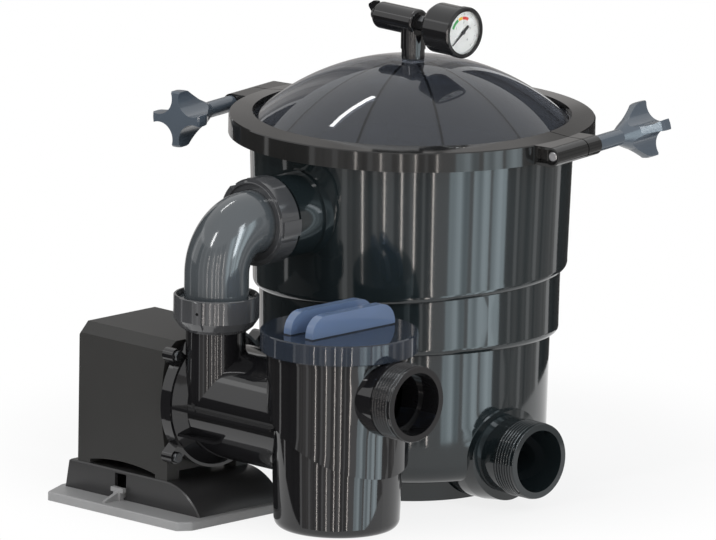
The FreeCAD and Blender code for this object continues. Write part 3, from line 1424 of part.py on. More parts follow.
def pump_foot():
    """Hollow moulded foot with a saddle for the motor and screw bosses inside."""
    outer = foot_block(0.0)
    top_edges = [e for e in outer.Edges if e.BoundBox.ZMax > foot_top_z - 0.01 and e.BoundBox.XLength > 60
                 or e.BoundBox.ZMin > foot_top_z - 0.01 and e.BoundBox.XMax < foot_x0 + foot_wall_lean + 0.1]
    outer = outer.makeChamfer(foot_edge, top_edges)
    shell = outer.cut(foot_block(foot_shell))
    saddle = box(saddle_x0, saddle_x1, pump_y - saddle_half, pump_y + saddle_half, foot_top_z - 1,
                 pump_z - 20)
    saddle = saddle.cut(pump_cyl(motor_shell_r + seat, saddle_x0 - 5, saddle_x1 + 5))
    saddle = saddle.common(box(-far, far, -far, 0, 0, pump_z - motor_shell_r + saddle_wrap))
    bosses = [cyl(screw_boss_r + 1.0, foot_top_z - plate_h - 3.0, V(x, y, plate_h + seat)).common(outer)
              for x, y in foot_screw_places()]
    foot = joined([shell, saddle] + bosses)
    side = pump_y - foot_half_y
    notch = box(clip_x - foot_notch_w / 2.0, clip_x + foot_notch_w / 2.0, side - 10, side + foot_shell + 1,
                foot_notch_low, foot_top_z - 3.0)
    holes = [cyl(screw_r + seat, plate_h + foot_screw_grip + 1, V(x, y, 0)) for x, y in foot_screw_places()]
    holes += [cyl(screw_r + seat, 20, V(x, y, foot_top_z - 10)) for x, y in cover_screw_places()]
    return foot.cut([notch, notch.mirror(V(0, pump_y, 0), Y)] + holes)


def base_plate():
    """Plate under the foot with cut corners, chamfered top edge and recessed screw holes."""
    a, b = plate_corner_rear, plate_corner_front
    outline = [V(plate_x0 + a, plate_y0, 0), V(plate_x1 - b, plate_y0, 0), V(plate_x1, plate_y0 + b * 1.5, 0),
               V(plate_x1, plate_y1 - b * 1.5, 0), V(plate_x1 - b, plate_y1, 0), V(plate_x0 + a, plate_y1, 0),
               V(plate_x0, plate_y1 - a * 2.4, 0), V(plate_x0, plate_y0 + a * 2.4, 0)]
    plate = Part.Face(Part.makePolygon(outline + [outline[0]])).extrude(V(0, 0, plate_h))
    upright = [e for e in plate.Edges if e.BoundBox.ZLength > plate_h - 0.1]
    plate = plate.makeFillet(plate_upright_r, upright)
    rim = [e for e in plate.Edges if e.BoundBox.ZMin > plate_h - 0.01]
    plate = plate.makeFillet(plate_edge, rim)
    holes = [cyl(screw_r + seat, 40, V(x, y, -1)) for x, y in foot_screw_places()]
    holes += [cyl(screw_head_r + easy, plate_counterbore + 1, V(x, y, -1)) for x, y in foot_screw_places()]
    return plate.cut(holes)


def hold_down_clip(front):
    """Snap clip on the plate: post with a cross head, a strut in front and a tongue in the foot's notch."""
    low = plate_h + seat
    half = clip_w / 2.0
    out = -easy - clip_thick
    post = box(-half, half, out, -easy, low, clip_top)
    head = box(-clip_head_half, clip_head_half, out, -easy, clip_head_low, clip_top)
    tongue = box(-half, half, out, foot_shell, foot_notch_low + easy, clip_head_low)
    outline = [V(-clip_strut_w / 2.0, y, z) for y, z in
               ((out + 1, low), (-clip_strut_reach, low), (-clip_strut_reach, low + 1.5),
                (out, clip_head_low), (out + 1, clip_head_low))]
    strut = Part.Face(Part.makePolygon(outline + [outline[0]])).extrude(V(clip_strut_w, 0, 0))
    clip = joined([post, head, tongue, strut])
    clip.translate(V(clip_x, pump_y - foot_half_y, 0))
    return clip if front else clip.mirror(V(0, pump_y, 0), Y)


def drain_plug():
    start = drain_boss_end + easy
    head = turned([(0, 0), (drain_head_r - 1, 0), (drain_head_r, 1), (drain_head_r, drain_head - 1),
                   (drain_head_r - 1, drain_head), (0, drain_head)])
    notches = [turned_about(cyl(2.0, 20, V(drain_head_r + 0.8, 0, -2)), 45 * i) for i in range(8)]
    stem = cyl(drain_thread_r, drain_stem_length, V(0, 0, -drain_stem_length))
    bar = box(-7, 7, -2, 2, drain_head - 1, drain_head + 4)
    return aim(joined([head.cut(notches), stem, bar]), V(pot_x, pump_y + start, drain_z), Y)


nodes = {
    "tank_body": tank_body(),
    "tank_lid": tank_lid(),
    "lid_o_ring": seal_ring(seal_r, seal_wire, V(0, 0, tank_rim_z - seal_wire - seat)),
    "clamp_half_front": clamp_half(True),
    "clamp_half_rear": clamp_half(False),
    "clamp_bolt_right": clamp_bolt(True),
    "clamp_bolt_left": clamp_bolt(False),
    "clamp_knob_right": on_knob_seat(clamp_knob_local(), False),
    "clamp_knob_left": on_knob_seat(clamp_knob_local(), True),
    "knob_insert_right": on_knob_seat(knob_insert_local(), False),
    "knob_insert_left": on_knob_seat(knob_insert_local(), True),
    "filter_media": pleated_media(),
    "cartridge_core": cartridge_core(),
    "cartridge_cap_top": cartridge_cap(True),
    "cartridge_cap_bottom": cartridge_cap(False),
    "outlet_manifold": outlet_manifold(),
    "manifold_seal": manifold_seal(),
    "tee_body": gauge_tee(),
    "tee_locknut": tee_locknut(),
    "tee_seal": tee_seal(),
    "bleed_screw": bleed_screw(),
    "bleed_seal": bleed_seal(),
    "gauge_case": gauge_case(),
    "gauge_bezel": gauge_bezel(),
    "gauge_lens": gauge_lens(),
    "gauge_dial": gauge_dial(),
    "gauge_pointer": gauge_pointer(),
    "gauge_movement": gauge_movement(),
    "gauge_socket": gauge_socket(),
    "bourdon_tube": bourdon_tube(),
    "union_nut_upper": union_nut_upper(),
    "union_tail_upper": union_tail_upper(),
    "union_seals": Part.makeCompound([union_seal(V(0, inlet_face_y, inlet_z), Y),
                                      union_seal(V(0, elbow_y, discharge_top), -Z)]),
    "elbow": elbow(),
    "discharge_collar": discharge_collar(),
    "union_nut_lower": union_nut_lower(),
    "union_tail_lower": union_tail_lower(),
    "pump_body": pump_body(),
    "strainer_lid": strainer_lid(),
    "strainer_seal": strainer_seal(),
    "strainer_basket": strainer_basket(),
    "drain_plug": drain_plug(),
    "seal_plate": seal_plate(),
    "plate_seal": plate_seal(),
    "wet_end_bolts": wet_end_bolts(),
    "impeller": impeller(),
    "seal_seat": seal_seat(),
    "seal_head": seal_head(),
    "motor_shaft": motor_shaft(),
    "motor_rotor": motor_rotor(),
    "stator_core": stator_core(),
    "stator_windings": stator_windings(),
    "bearings": Part.makeCompound([bearing(motor_front_x - shield_wall - bearing_w),
                                   bearing(motor_rear_x + shield_wall)]),
    "motor_housing": Part.makeCompound([motor_shell(), end_shield(True), end_shield(False)]),
    "cooling_fan": cooling_fan(),
    "motor_cover": motor_cover(),
    "pump_foot": pump_foot(),
    "base_plate": base_plate(),
    "hold_down_clips": Part.makeCompound([hold_down_clip(True), hold_down_clip(False)]),
    "fixing_screws": Part.makeCompound(cover_screws().Solids + foot_screws().Solids),
}

os.makedirs("parts", exist_ok=True)
for name, shape in nodes.items():
    shape.exportStep(os.path.join("parts", name + ".step"))
    state = "valid" if shape.isValid() else "NOT VALID"
    print(name, len(shape.Solids), "solids", round(shape.Volume), "mm3", state)
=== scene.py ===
"""Looks of the pool filter unit: camera, studio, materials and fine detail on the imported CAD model."""
import bpy
import bmesh
import math
from mathutils import Matrix, Vector


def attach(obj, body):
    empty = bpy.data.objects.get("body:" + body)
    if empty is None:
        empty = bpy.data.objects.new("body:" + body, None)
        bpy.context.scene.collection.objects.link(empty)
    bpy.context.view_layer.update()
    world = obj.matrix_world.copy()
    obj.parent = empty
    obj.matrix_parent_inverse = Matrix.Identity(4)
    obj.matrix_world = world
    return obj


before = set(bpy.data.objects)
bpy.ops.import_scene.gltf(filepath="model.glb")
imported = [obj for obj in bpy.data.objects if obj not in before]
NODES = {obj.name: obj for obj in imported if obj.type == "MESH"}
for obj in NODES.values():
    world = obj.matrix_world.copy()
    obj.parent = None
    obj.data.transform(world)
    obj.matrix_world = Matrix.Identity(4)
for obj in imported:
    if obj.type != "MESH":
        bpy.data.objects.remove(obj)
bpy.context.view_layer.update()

SCENE = bpy.context.scene
WHITE = (1.0, 1.0, 1.0)
EVEN = (1.0, 1.0, 1.0)

# Camera: almost parallel view, one pixel per millimetre at the object. Azimuth 0 looks along +Y.
# AIM is a point on the tank's axis; the last two shift the picture's centre from it, to the right and up
VIEW_AZIMUTH = 44.5
VIEW_ELEVATION = 12.6
VIEW_ROLL = 0.85
VIEW_WIDTH = 0.716
VIEW_LENS = 1200.0
SENSOR = 36.0
AIM = Vector((0.0, 0.0, 0.3743))
AIM_RIGHT = -0.0541
AIM_UP = -0.1558

# Round table: radius, centre and colour of its top
TABLE_R = 0.50
TABLE_CENTRE = (-0.10, 0.06, -0.0006)
TABLE_COLOR = (0.80, 0.80, 0.80, 1.0)
# Share of plain white in its middle, and how far in from its edge that share starts and ends rising to 1
TABLE_WHITE_SHARE = 0.82
TABLE_FADE_START, TABLE_FADE_END = 0.24, 0.01

# Upright cards round the table: how far out they stand, their lower and upper edge, degrees per flat panel
CARD_R, CARD_FOOT, CARD_TOP = 3.6, -3.6, 2.2
CARD_PANEL = 4.0
# Noise that makes a card uneven: its scale, the span of it that counts, and the dimmest and brightest share
CARD_NOISE = 2.6
CARD_NOISE_SPAN = (0.34, 0.66)
CARD_DIM, CARD_BRIGHT = 0.45, 1.45
# Name, brightness, tint, and the degrees covered left (-) and right (+) of the camera; the gaps stay white
CARDS = (
    ("dark_cards", 0.05, (1.0, 0.96, 0.93), ((-152, -104), (-100, -66), (134, 170))),
    ("grey_cards", 0.46, (1.0, 0.97, 0.95),
     ((-62, -50), (-46, -36), (-33, -27), (-24, -19.5), (-12, -7.5), (-5, -1), (3.5, 8), (10, 15),
      (72, 80), (83, 100), (104, 128), (172, 206))),
    ("blue_cards", 3.2, (0.80, 0.94, 1.0), ((27, 42), (45, 58), (60, 72))),
)

# Light from all round, the spot between tank and pump that the softboxes point at, and their tints
WORLD_LIGHT = 0.72
LAMP_AIM = (0.0, -0.1)
COOL = (0.88, 0.95, 1.0)
WARM = (1.0, 0.92, 0.86)
# Thin softboxes in front, as degrees left (-) and right (+) of the camera
STRIP_ANGLES = (-34.3, -18.6, -6.4, 2.5, 15.6)

# Places on the part, in metres: axis of the tee, face of the dial, axis of the pump, plate of its lid
TEE_Z = 0.468962
DIAL_X = 0.0684
PUMP_Y, PUMP_Z = -0.246, 0.118
POT_LID_TOP_Z = 0.2166

# Ribs moulded under the tank lid: how many, degrees of the first from +X, half their width, inner end
LID_RIBS = 11
LID_RIB_TURN = -1.0
LID_RIB_HALF_WIDTH = 0.0014
LID_RIB_START_R = 0.024

# Print on the dial; degrees run from +Y towards up, as seen from the front
SCALE_START, SCALE_END = 218.0, -52.0
SCALE_STEPS = 8
STEPS_PER_NUMBER = 2
PRINT_THICK = 0.00008
PRINT_LIFT = 0.00008
BAND_IN_R, BAND_OUT_R = 0.0130, 0.0160
BAND_CUTS = 24
NUMBER_R = 0.0105
NUMBER_SIZE = 0.0036
# Ticks: name, count, radius, length and width
TICKS = (
    ("dial_ticks_fine", 41, 0.0187, 0.0010, 0.00018),
    ("dial_ticks_main", 9, 0.0182, 0.0020, 0.00040),
)

# The two ports, which point along +X: name, node, Y, Z, where the thread starts and where the port ends
PORTS = (
    ("outlet", "tank_body", 0.0, 0.0498, 0.1588, 0.1847),
    ("suction", "pump_body", PUMP_Y, 0.1574, 0.2272, 0.2529),
)
PORT_R = 0.0376
# Ridge of the thread and wire of the rim: size, depth in the port's wall, distance from its face
THREAD_PITCH = 0.0036
THREAD_WIRE = 0.00125
THREAD_SINK = 0.0001
THREAD_SHORT = 0.0030
RIM_WIRE = 0.0010
RIM_SINK = 0.0004
RIM_BACK = 0.0011

# Bolts that hold the wet end: degrees round the pump's axis, radius they stand on, face of their heads
WET_BOLT_ANGLES = (40.0, 140.0, 220.6, 319.4)
WET_BOLT_R = 0.080
WET_BOLT_HEAD_X = -0.01698
# Radius of the flat dark hexagon painted on each head as the shade in its socket
SOCKET_R = 0.0026

# Sockets of a colour Mix node, which share their labels with its other kinds
MIX_FIRST, MIX_SECOND, MIX_RESULT = 6, 7, 2


# ---- nodes ----

def feed(tree, node, feeds):
    """Give inputs, by label or number, a plain value or a link from another node's output."""
    for label, value in feeds.items():
        if isinstance(value, bpy.types.NodeSocket):
            tree.links.new(value, node.inputs[label])
        else:
            node.inputs[label].default_value = value


def add_node(tree, kind, feeds=None, **settings):
    """New node with its settings and its inputs."""
    node = tree.nodes.new(kind)
    for label, value in settings.items():
        setattr(node, label, value)
    feed(tree, node, feeds or {})
    return node


def find_node(tree, kind):
    """First node of a type in the tree."""
    return next(node for node in tree.nodes if node.type == kind)


def calc(tree, operation, *values):
    """Math node on numbers and sockets; gives its result."""
    return add_node(tree, "ShaderNodeMath", dict(enumerate(values)), operation=operation).outputs["Value"]


def remap(tree, value, source, target, curve="LINEAR"):
    """Map one range of values onto another."""
    labels = ("From Min", "From Max", "To Min", "To Max")
    feeds = {"Value": value, **dict(zip(labels, (*source, *target)))}
    return add_node(tree, "ShaderNodeMapRange", feeds, interpolation_type=curve).outputs["Result"]


def blend(tree, share, first, second):
    """Mix two shaders; a share of 1 shows only the second."""
    return add_node(tree, "ShaderNodeMixShader", {"Fac": share, 1: first, 2: second}).outputs["Shader"]


def object_place(tree):
    """X, Y and Z of a point on the piece."""
    coords = add_node(tree, "ShaderNodeTexCoord")
    return add_node(tree, "ShaderNodeSeparateXYZ", {"Vector": coords.outputs["Object"]}).outputs


def object_noise(tree, scale, detail=2.0, stretch=EVEN):
    """Noise fixed to the piece, squeezed along the axes by stretch."""
    coords = add_node(tree, "ShaderNodeTexCoord")
    place = add_node(tree, "ShaderNodeMapping", {"Vector": coords.outputs["Object"], "Scale": stretch})
    return add_node(tree, "ShaderNodeTexNoise",
                    {"Vector": place.outputs["Vector"], "Scale": scale, "Detail": detail})


def shade_with(tree, shader, noise, color, darkest, lightest):
    """Let the base colour drift with the noise between two shades of one colour."""
    ramp = add_node(tree, "ShaderNodeValToRGB", {"Fac": noise.outputs["Fac"]})
    for end, position, factor in zip(ramp.color_ramp.elements, (0.35, 0.65), (darkest, lightest)):
        end.position = position
        end.color = (*(min(1.0, part * factor) for part in color), 1.0)
    feed(tree, shader, {"Base Color": ramp.outputs["Color"]})


def bump_with(tree, shader, noise, strength, distance):
    """Raise a fine grain on the surface."""
    bump = add_node(tree, "ShaderNodeBump",
                    {"Height": noise.outputs["Fac"], "Strength": strength, "Distance": distance})
    feed(tree, shader, {"Normal": bump.outputs["Normal"]})


def recolor_where(tree, shader, mask, color):
    """Change the base colour where the mask is 1."""
    plain = shader.inputs["Base Color"].links[0].from_socket
    change = add_node(tree, "ShaderNodeMix",
                      {"Factor": mask, MIX_FIRST: plain, MIX_SECOND: (*color, 1.0)}, data_type="RGBA")
    feed(tree, shader, {"Base Color": change.outputs[MIX_RESULT]})


# ---- finishes ----

def new_material(name):
    """Material with its node tree and its Principled shader."""
    mat = bpy.data.materials.new(name)
    mat.use_nodes = True
    return mat, mat.node_tree, find_node(mat.node_tree, "BSDF_PRINCIPLED")


def plastic(name, color, rough, specular=0.5, coat=0.0, grain=0.0):
    """Moulded plastic: a slightly uneven colour, a set gloss and, where asked, a fine moulded grain."""
    mat, tree, shader = new_material(name)
    patches = object_noise(tree, scale=9.0, detail=3.0)
    shade_with(tree, shader, patches, color, darkest=0.94, lightest=1.06)
    feed(tree, shader, {"Roughness": rough, "Specular IOR Level": specular,
                        "Coat Weight": coat, "Coat Roughness": 0.06})
    if grain:
        bump_with(tree, shader, object_noise(tree, scale=900.0), strength=grain, distance=0.0002)
    return mat


def metal(name, color, rough, stretch=EVEN):
    """Bare metal with a fine grain, drawn along one axis where it is stretched."""
    mat, tree, shader = new_material(name)
    streaks = object_noise(tree, scale=60.0, detail=3.0, stretch=stretch)
    shade_with(tree, shader, streaks, color, darkest=0.9, lightest=1.05)
    feed(tree, shader, {"Metallic": 1.0, "Roughness": rough})
    fine = object_noise(tree, scale=700.0, stretch=stretch)
    bump_with(tree, shader, fine, strength=0.15, distance=0.0001)
    return mat


def clear_plastic(name, color, rough, weight, ior=1.46):
    """See-through plastic that lets a share of the light pass."""
    mat, tree, shader = new_material(name)
    shade_with(tree, shader, object_noise(tree, scale=12.0), color, darkest=0.97, lightest=1.03)
    feed(tree, shader, {"Roughness": rough, "IOR": ior, "Transmission Weight": weight})
    return mat


def cloth(name, color):
    """Matt felted filter cloth."""
    mat, tree, shader = new_material(name)
    fibres = object_noise(tree, scale=1400.0, detail=4.0)
    shade_with(tree, shader, fibres, color, darkest=0.86, lightest=1.0)
    feed(tree, shader, {"Roughness": 0.9})
    bump_with(tree, shader, fibres, strength=0.5, distance=0.0003)
    return mat


def flat_paint(name, color):
    """Printed colour of the dial."""
    mat, tree, shader = new_material(name)
    shade_with(tree, shader, object_noise(tree, scale=40.0), color, darkest=0.97, lightest=1.0)
    feed(tree, shader, {"Roughness": 0.55})
    return mat


def shade_ribs(mat, color):
    """Darken the tank lid over its ribs, which take more light than the thin wall between them."""
    tree = mat.node_tree
    place = object_place(tree)
    x, y = place["X"], place["Y"]
    half_step = math.pi / LID_RIBS
    angle = calc(tree, "SUBTRACT", calc(tree, "ARCTAN2", y, x), math.radians(LID_RIB_TURN))
    from_rib = calc(tree, "ABSOLUTE", calc(tree, "WRAP", angle, half_step, -half_step))
    squares = calc(tree, "ADD", calc(tree, "MULTIPLY", x, x), calc(tree, "MULTIPLY", y, y))
    radius = calc(tree, "SQRT", squares)
    on_rib = calc(tree, "LESS_THAN", calc(tree, "MULTIPLY", from_rib, radius), LID_RIB_HALF_WIDTH)
    past_hub = calc(tree, "GREATER_THAN", radius, LID_RIB_START_R)
    mask = calc(tree, "MULTIPLY", on_rib, past_hub)
    recolor_where(tree, find_node(tree, "BSDF_PRINCIPLED"), mask, color)


def paint_bar_light(mat, color):
    """Lighten the finger bars of the strainer lid, which stand on its plate: painted light of the side lamp
    falling on them.
    """
    tree = mat.node_tree
    mask = calc(tree, "GREATER_THAN", object_place(tree)["Z"], POT_LID_TOP_Z)
    recolor_where(tree, find_node(tree, "BSDF_PRINCIPLED"), mask, color)


TANK = plastic("tank_plastic", (0.011, 0.016, 0.018), rough=0.075, specular=0.62)
PUMP = plastic("pump_plastic", (0.008, 0.008, 0.009), rough=0.06, specular=0.6)
GLOSS = plastic("elbow_plastic", (0.062, 0.071, 0.078), rough=0.12, specular=0.6, coat=0.10)
CLAMP = plastic("clamp_plastic", (0.015, 0.015, 0.015), rough=0.08, specular=0.42)
KNOB = plastic("knob_plastic", (0.075, 0.094, 0.118), rough=0.16, specular=0.6)
NUT = plastic("nut_plastic", (0.052, 0.054, 0.058), rough=0.12, specular=0.8)
SMOKE = clear_plastic("smoke_clear", (0.13, 0.145, 0.175), rough=0.03, weight=0.80)
POT_LID = clear_plastic("pot_lid_clear", (0.040, 0.052, 0.074), rough=0.06, weight=0.55)
LENS = clear_plastic("clear_lens", (0.97, 0.98, 0.98), rough=0.01, weight=1.0, ior=1.2)
COVER = plastic("cover_plastic", (0.031, 0.031, 0.030), rough=0.5, specular=0.30, grain=0.30)
FOOT = plastic("foot_plastic", (0.030, 0.030, 0.031), rough=0.28, specular=0.4, grain=0.2)
PLATE = plastic("plate_plastic", (0.290, 0.292, 0.296), rough=0.40, grain=0.25)
RUBBER = plastic("seal_rubber", (0.012, 0.012, 0.012), rough=0.6, specular=0.3, grain=0.2)
FILTER = cloth("filter_cloth", (0.62, 0.66, 0.70))
CAP = plastic("cap_plastic", (0.03, 0.05, 0.09), rough=0.4)
CORE = plastic("core_plastic", (0.10, 0.10, 0.11), rough=0.4)
BASKET = plastic("basket_plastic", (0.030, 0.033, 0.036), rough=0.3)
STEEL = metal("stainless", (0.50, 0.50, 0.51), rough=0.28)
BOLT = metal("black_steel", (0.085, 0.088, 0.092), rough=0.30)
BRASS = metal("brass", (0.62, 0.46, 0.20), rough=0.3)
COPPER = metal("copper_wire", (0.60, 0.26, 0.13), rough=0.35, stretch=(1.0, 1.0, 8.0))
ALLOY = metal("motor_alloy", (0.42, 0.43, 0.44), rough=0.45)
LAMINATE = metal("laminations", (0.22, 0.22, 0.23), rough=0.4, stretch=(40.0, 1.0, 1.0))
CERAMIC = plastic("ceramic", (0.72, 0.70, 0.64), rough=0.2)
GAUGE = plastic("gauge_black", (0.010, 0.010, 0.011), rough=0.10)
DIAL = flat_paint("dial_white", (0.82, 0.82, 0.80))
INK = flat_paint("dial_ink", (0.015, 0.015, 0.018))
GREEN = flat_paint("dial_green", (0.03, 0.36, 0.08))
YELLOW = flat_paint("dial_yellow", (0.85, 0.50, 0.02))
RED = flat_paint("dial_red", (0.70, 0.03, 0.02))

shade_ribs(SMOKE, (0.030, 0.034, 0.042))
# Painted light: the finger bars of the strainer lid lightened as if lit from the side
paint_bar_light(POT_LID, (0.24, 0.34, 0.54))

LOOKS = {
    "tank_body": TANK, "tank_lid": SMOKE, "lid_o_ring": RUBBER,
    "clamp_half_front": CLAMP, "clamp_half_rear": CLAMP,
    "clamp_bolt_right": STEEL, "clamp_bolt_left": STEEL,
    "clamp_knob_right": KNOB, "clamp_knob_left": KNOB,
    "knob_insert_right": BRASS, "knob_insert_left": BRASS,

    "filter_media": FILTER, "cartridge_core": CORE,
    "cartridge_cap_top": CAP, "cartridge_cap_bottom": CAP,
    "outlet_manifold": CORE, "manifold_seal": RUBBER,

    "tee_body": PUMP, "tee_locknut": PUMP, "tee_seal": RUBBER,
    "bleed_screw": GAUGE, "bleed_seal": RUBBER,
    "gauge_case": GAUGE, "gauge_bezel": GAUGE, "gauge_lens": LENS,
    "gauge_dial": DIAL, "gauge_pointer": INK, "gauge_movement": BRASS,
    "gauge_socket": BOLT, "bourdon_tube": BRASS,

    "union_nut_upper": NUT, "union_tail_upper": GLOSS, "union_seals": RUBBER,
    "elbow": GLOSS, "discharge_collar": GLOSS,
    "union_nut_lower": NUT, "union_tail_lower": PUMP,

    "pump_body": PUMP, "strainer_lid": POT_LID, "strainer_seal": RUBBER,
    "strainer_basket": BASKET, "drain_plug": PUMP,
    "seal_plate": PUMP, "plate_seal": RUBBER, "wet_end_bolts": BOLT,
    "impeller": CORE, "seal_seat": CERAMIC, "seal_head": RUBBER,

    "motor_shaft": STEEL, "motor_rotor": LAMINATE, "stator_core": LAMINATE,
    "stator_windings": COPPER, "bearings": STEEL, "motor_housing": ALLOY,
    "cooling_fan": GAUGE, "motor_cover": COVER,
    "pump_foot": FOOT, "base_plate": PLATE, "hold_down_clips": PLATE, "fixing_screws": STEEL,
}


def dress_nodes():
    """Give every CAD node its finish."""
    for name, node in NODES.items():
        node.data.materials.clear()
        node.data.materials.append(LOOKS[name])


# ---- pieces ----

def new_object(name, data):
    """Object in the scene that shows the data."""
    item = bpy.data.objects.new(name, data)
    SCENE.collection.objects.link(item)
    return item


def add_piece(name, mesh):
    """Put a finished mesh in the scene; it stays with the standing part of the unit."""
    piece = new_object(name, mesh)
    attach(piece, "unit")


def flat_piece(name, verts, faces, mat):
    """Small piece drawn from its corners and faces."""
    mesh = bpy.data.meshes.new(name)
    mesh.from_pydata([tuple(corner) for corner in verts], [], faces)
    mesh.validate()
    mesh.materials.append(mat)
    add_piece(name, mesh)


def along_x(x, y, z):
    """Placement that lays a shape's Z along +X, its X along +Y and its Y upward."""
    return Matrix(((0, 0, 1, x), (1, 0, 0, y), (0, 1, 0, z), (0, 0, 0, 1)))


def face_outward(mesh):
    """Merge doubled corners and turn the faces outward."""
    shape = bmesh.new()
    shape.from_mesh(mesh)
    bmesh.ops.remove_doubles(shape, verts=shape.verts, dist=1e-7)
    bmesh.ops.recalc_face_normals(shape, faces=shape.faces)
    shape.to_mesh(mesh)
    shape.free()


def new_growth(name, inputs):
    """Empty Geometry Nodes tree with named sizes; gives the tree and the outputs that carry them."""
    tree = bpy.data.node_groups.new(name, "GeometryNodeTree")
    for label in inputs:
        tree.interface.new_socket(name=label, in_out="INPUT", socket_type="NodeSocketFloat")
    tree.interface.new_socket(name="Geometry", in_out="OUTPUT", socket_type="NodeSocketGeometry")
    return tree, tree.nodes.new("NodeGroupInput").outputs


def end_growth(tree, geometry, mat):
    """Make the shapes real, give them their material and close the tree."""
    realize = add_node(tree, "GeometryNodeRealizeInstances", {"Geometry": geometry})
    paint = add_node(tree, "GeometryNodeSetMaterial",
                     {"Geometry": realize.outputs["Geometry"], "Material": mat})
    add_node(tree, "NodeGroupOutput", {"Geometry": paint.outputs["Geometry"]})
    return tree


def sweep_wire(tree, curve, wire_r, cuts, caps=False):
    """Round wire of a given radius along a curve."""
    profile = add_node(tree, "GeometryNodeCurvePrimitiveCircle", {"Resolution": cuts, "Radius": wire_r})
    feeds = {"Curve": curve, "Profile Curve": profile.outputs["Curve"], "Fill Caps": caps}
    return add_node(tree, "GeometryNodeCurveToMesh", feeds).outputs["Mesh"]


def thread_growth(name, mat):
    """Round ridge wound as a thread along Z."""
    tree, sizes = new_growth(name, ("Radius", "Pitch", "Turns", "Ridge"))
    height = calc(tree, "MULTIPLY", sizes["Pitch"], sizes["Turns"])
    spiral = add_node(tree, "GeometryNodeCurveSpiral",
                      {"Resolution": 96, "Rotations": sizes["Turns"], "Start Radius": sizes["Radius"],
                       "End Radius": sizes["Radius"], "Height": height})
    ridge = sweep_wire(tree, spiral.outputs["Curve"], sizes["Ridge"], cuts=8, caps=True)
    return end_growth(tree, ridge, mat)


def rim_growth(name, mat):
    """Round wire bent into a closed ring about Z."""
    tree, sizes = new_growth(name, ("Radius", "Wire"))
    circle = add_node(tree, "GeometryNodeCurvePrimitiveCircle",
                      {"Resolution": 128, "Radius": sizes["Radius"]})
    ring = sweep_wire(tree, circle.outputs["Curve"], sizes["Wire"], cuts=10)
    return end_growth(tree, ring, mat)


def tick_growth(name, mat):
    """Thin blocks laid out round Z as the ticks of a scale, from Start by equal steps."""
    tree, sizes = new_growth(name, ("Count", "Radius", "Length", "Width", "Thick", "Start", "Step"))
    line = add_node(tree, "GeometryNodeMeshLine", {"Count": sizes["Count"], "Offset": (0.0, 0.0, 0.0)})
    size = add_node(tree, "ShaderNodeCombineXYZ",
                    {"X": sizes["Length"], "Y": sizes["Width"], "Z": sizes["Thick"]})
    block = add_node(tree, "GeometryNodeMeshCube", {"Size": size.outputs["Vector"]})
    out = add_node(tree, "ShaderNodeCombineXYZ", {"X": sizes["Radius"]})
    tick = add_node(tree, "GeometryNodeTransform",
                    {"Geometry": block.outputs["Mesh"], "Translation": out.outputs["Vector"]})
    index = add_node(tree, "GeometryNodeInputIndex").outputs["Index"]
    turned = calc(tree, "ADD", calc(tree, "MULTIPLY", index, sizes["Step"]), sizes["Start"])
    euler = add_node(tree, "ShaderNodeCombineXYZ", {"Z": turned})
    rotation = add_node(tree, "FunctionNodeEulerToRotation", {"Euler": euler.outputs["Vector"]})
    spread = add_node(tree, "GeometryNodeInstanceOnPoints",
                      {"Points": line.outputs["Mesh"], "Instance": tick.outputs["Geometry"],
                       "Rotation": rotation.outputs["Rotation"]})
    return end_growth(tree, spread.outputs["Instances"], mat)


def grow(name, tree, sizes, place, smooth=False):
    """Run a tree with its named sizes and keep the result as a plain mesh piece."""
    seed = new_object(name + "_seed", bpy.data.meshes.new(name + "_seed"))
    modifier = seed.modifiers.new("growth", "NODES")
    modifier.node_group = tree
    for item in tree.interface.items_tree:
        if item.in_out == "INPUT":
            modifier[item.identifier] = float(sizes[item.name])
    bpy.context.view_layer.update()
    ready = seed.evaluated_get(bpy.context.evaluated_depsgraph_get())
    mesh = bpy.data.meshes.new_from_object(ready)
    mesh.name = name
    seed.modifiers.remove(modifier)
    bpy.data.objects.remove(seed)
    mesh.transform(place)
    face_outward(mesh)
    for face in mesh.polygons:
        face.use_smooth = smooth
    add_piece(name, mesh)


# ---- studio ----

def at_azimuth(azimuth, distance, height):
    """Point so far out and so high, at an azimuth measured as the camera's."""
    a = math.radians(azimuth)
    return Vector((distance * math.sin(a), -distance * math.cos(a), height))


def build_camera():
    """Nearly parallel camera, aimed by its offsets from a point on the tank's axis."""
    a, e, r = (math.radians(v) for v in (VIEW_AZIMUTH, VIEW_ELEVATION, VIEW_ROLL))
    back = Vector((math.sin(a) * math.cos(e), -math.cos(a) * math.cos(e), math.sin(e)))
    flat_right = Vector((math.cos(a), math.sin(a), 0.0))
    flat_up = Vector((-math.sin(e) * math.sin(a), math.sin(e) * math.cos(a), math.cos(e)))
    right = flat_right * math.cos(r) + flat_up * math.sin(r)
    up = flat_up * math.cos(r) - flat_right * math.sin(r)
    centre = AIM + right * AIM_RIGHT + up * AIM_UP
    distance = VIEW_WIDTH * VIEW_LENS / SENSOR
    data = bpy.data.cameras.new("camera")
    data.lens = VIEW_LENS
    data.sensor_width = SENSOR
    data.clip_start, data.clip_end = 1.0, distance * 2.0
    camera = new_object("camera", data)
    turn = Matrix((right, up, back)).transposed().to_4x4()
    camera.matrix_world = Matrix.Translation(centre + back * distance) @ turn
    SCENE.camera = camera


def seen_directly(tree):
    """1 for camera, glossy and transmission rays, else 0."""
    rays = add_node(tree, "ShaderNodeLightPath").outputs
    seen = calc(tree, "MAXIMUM", rays["Is Camera Ray"], rays["Is Glossy Ray"])
    return calc(tree, "MAXIMUM", seen, rays["Is Transmission Ray"])


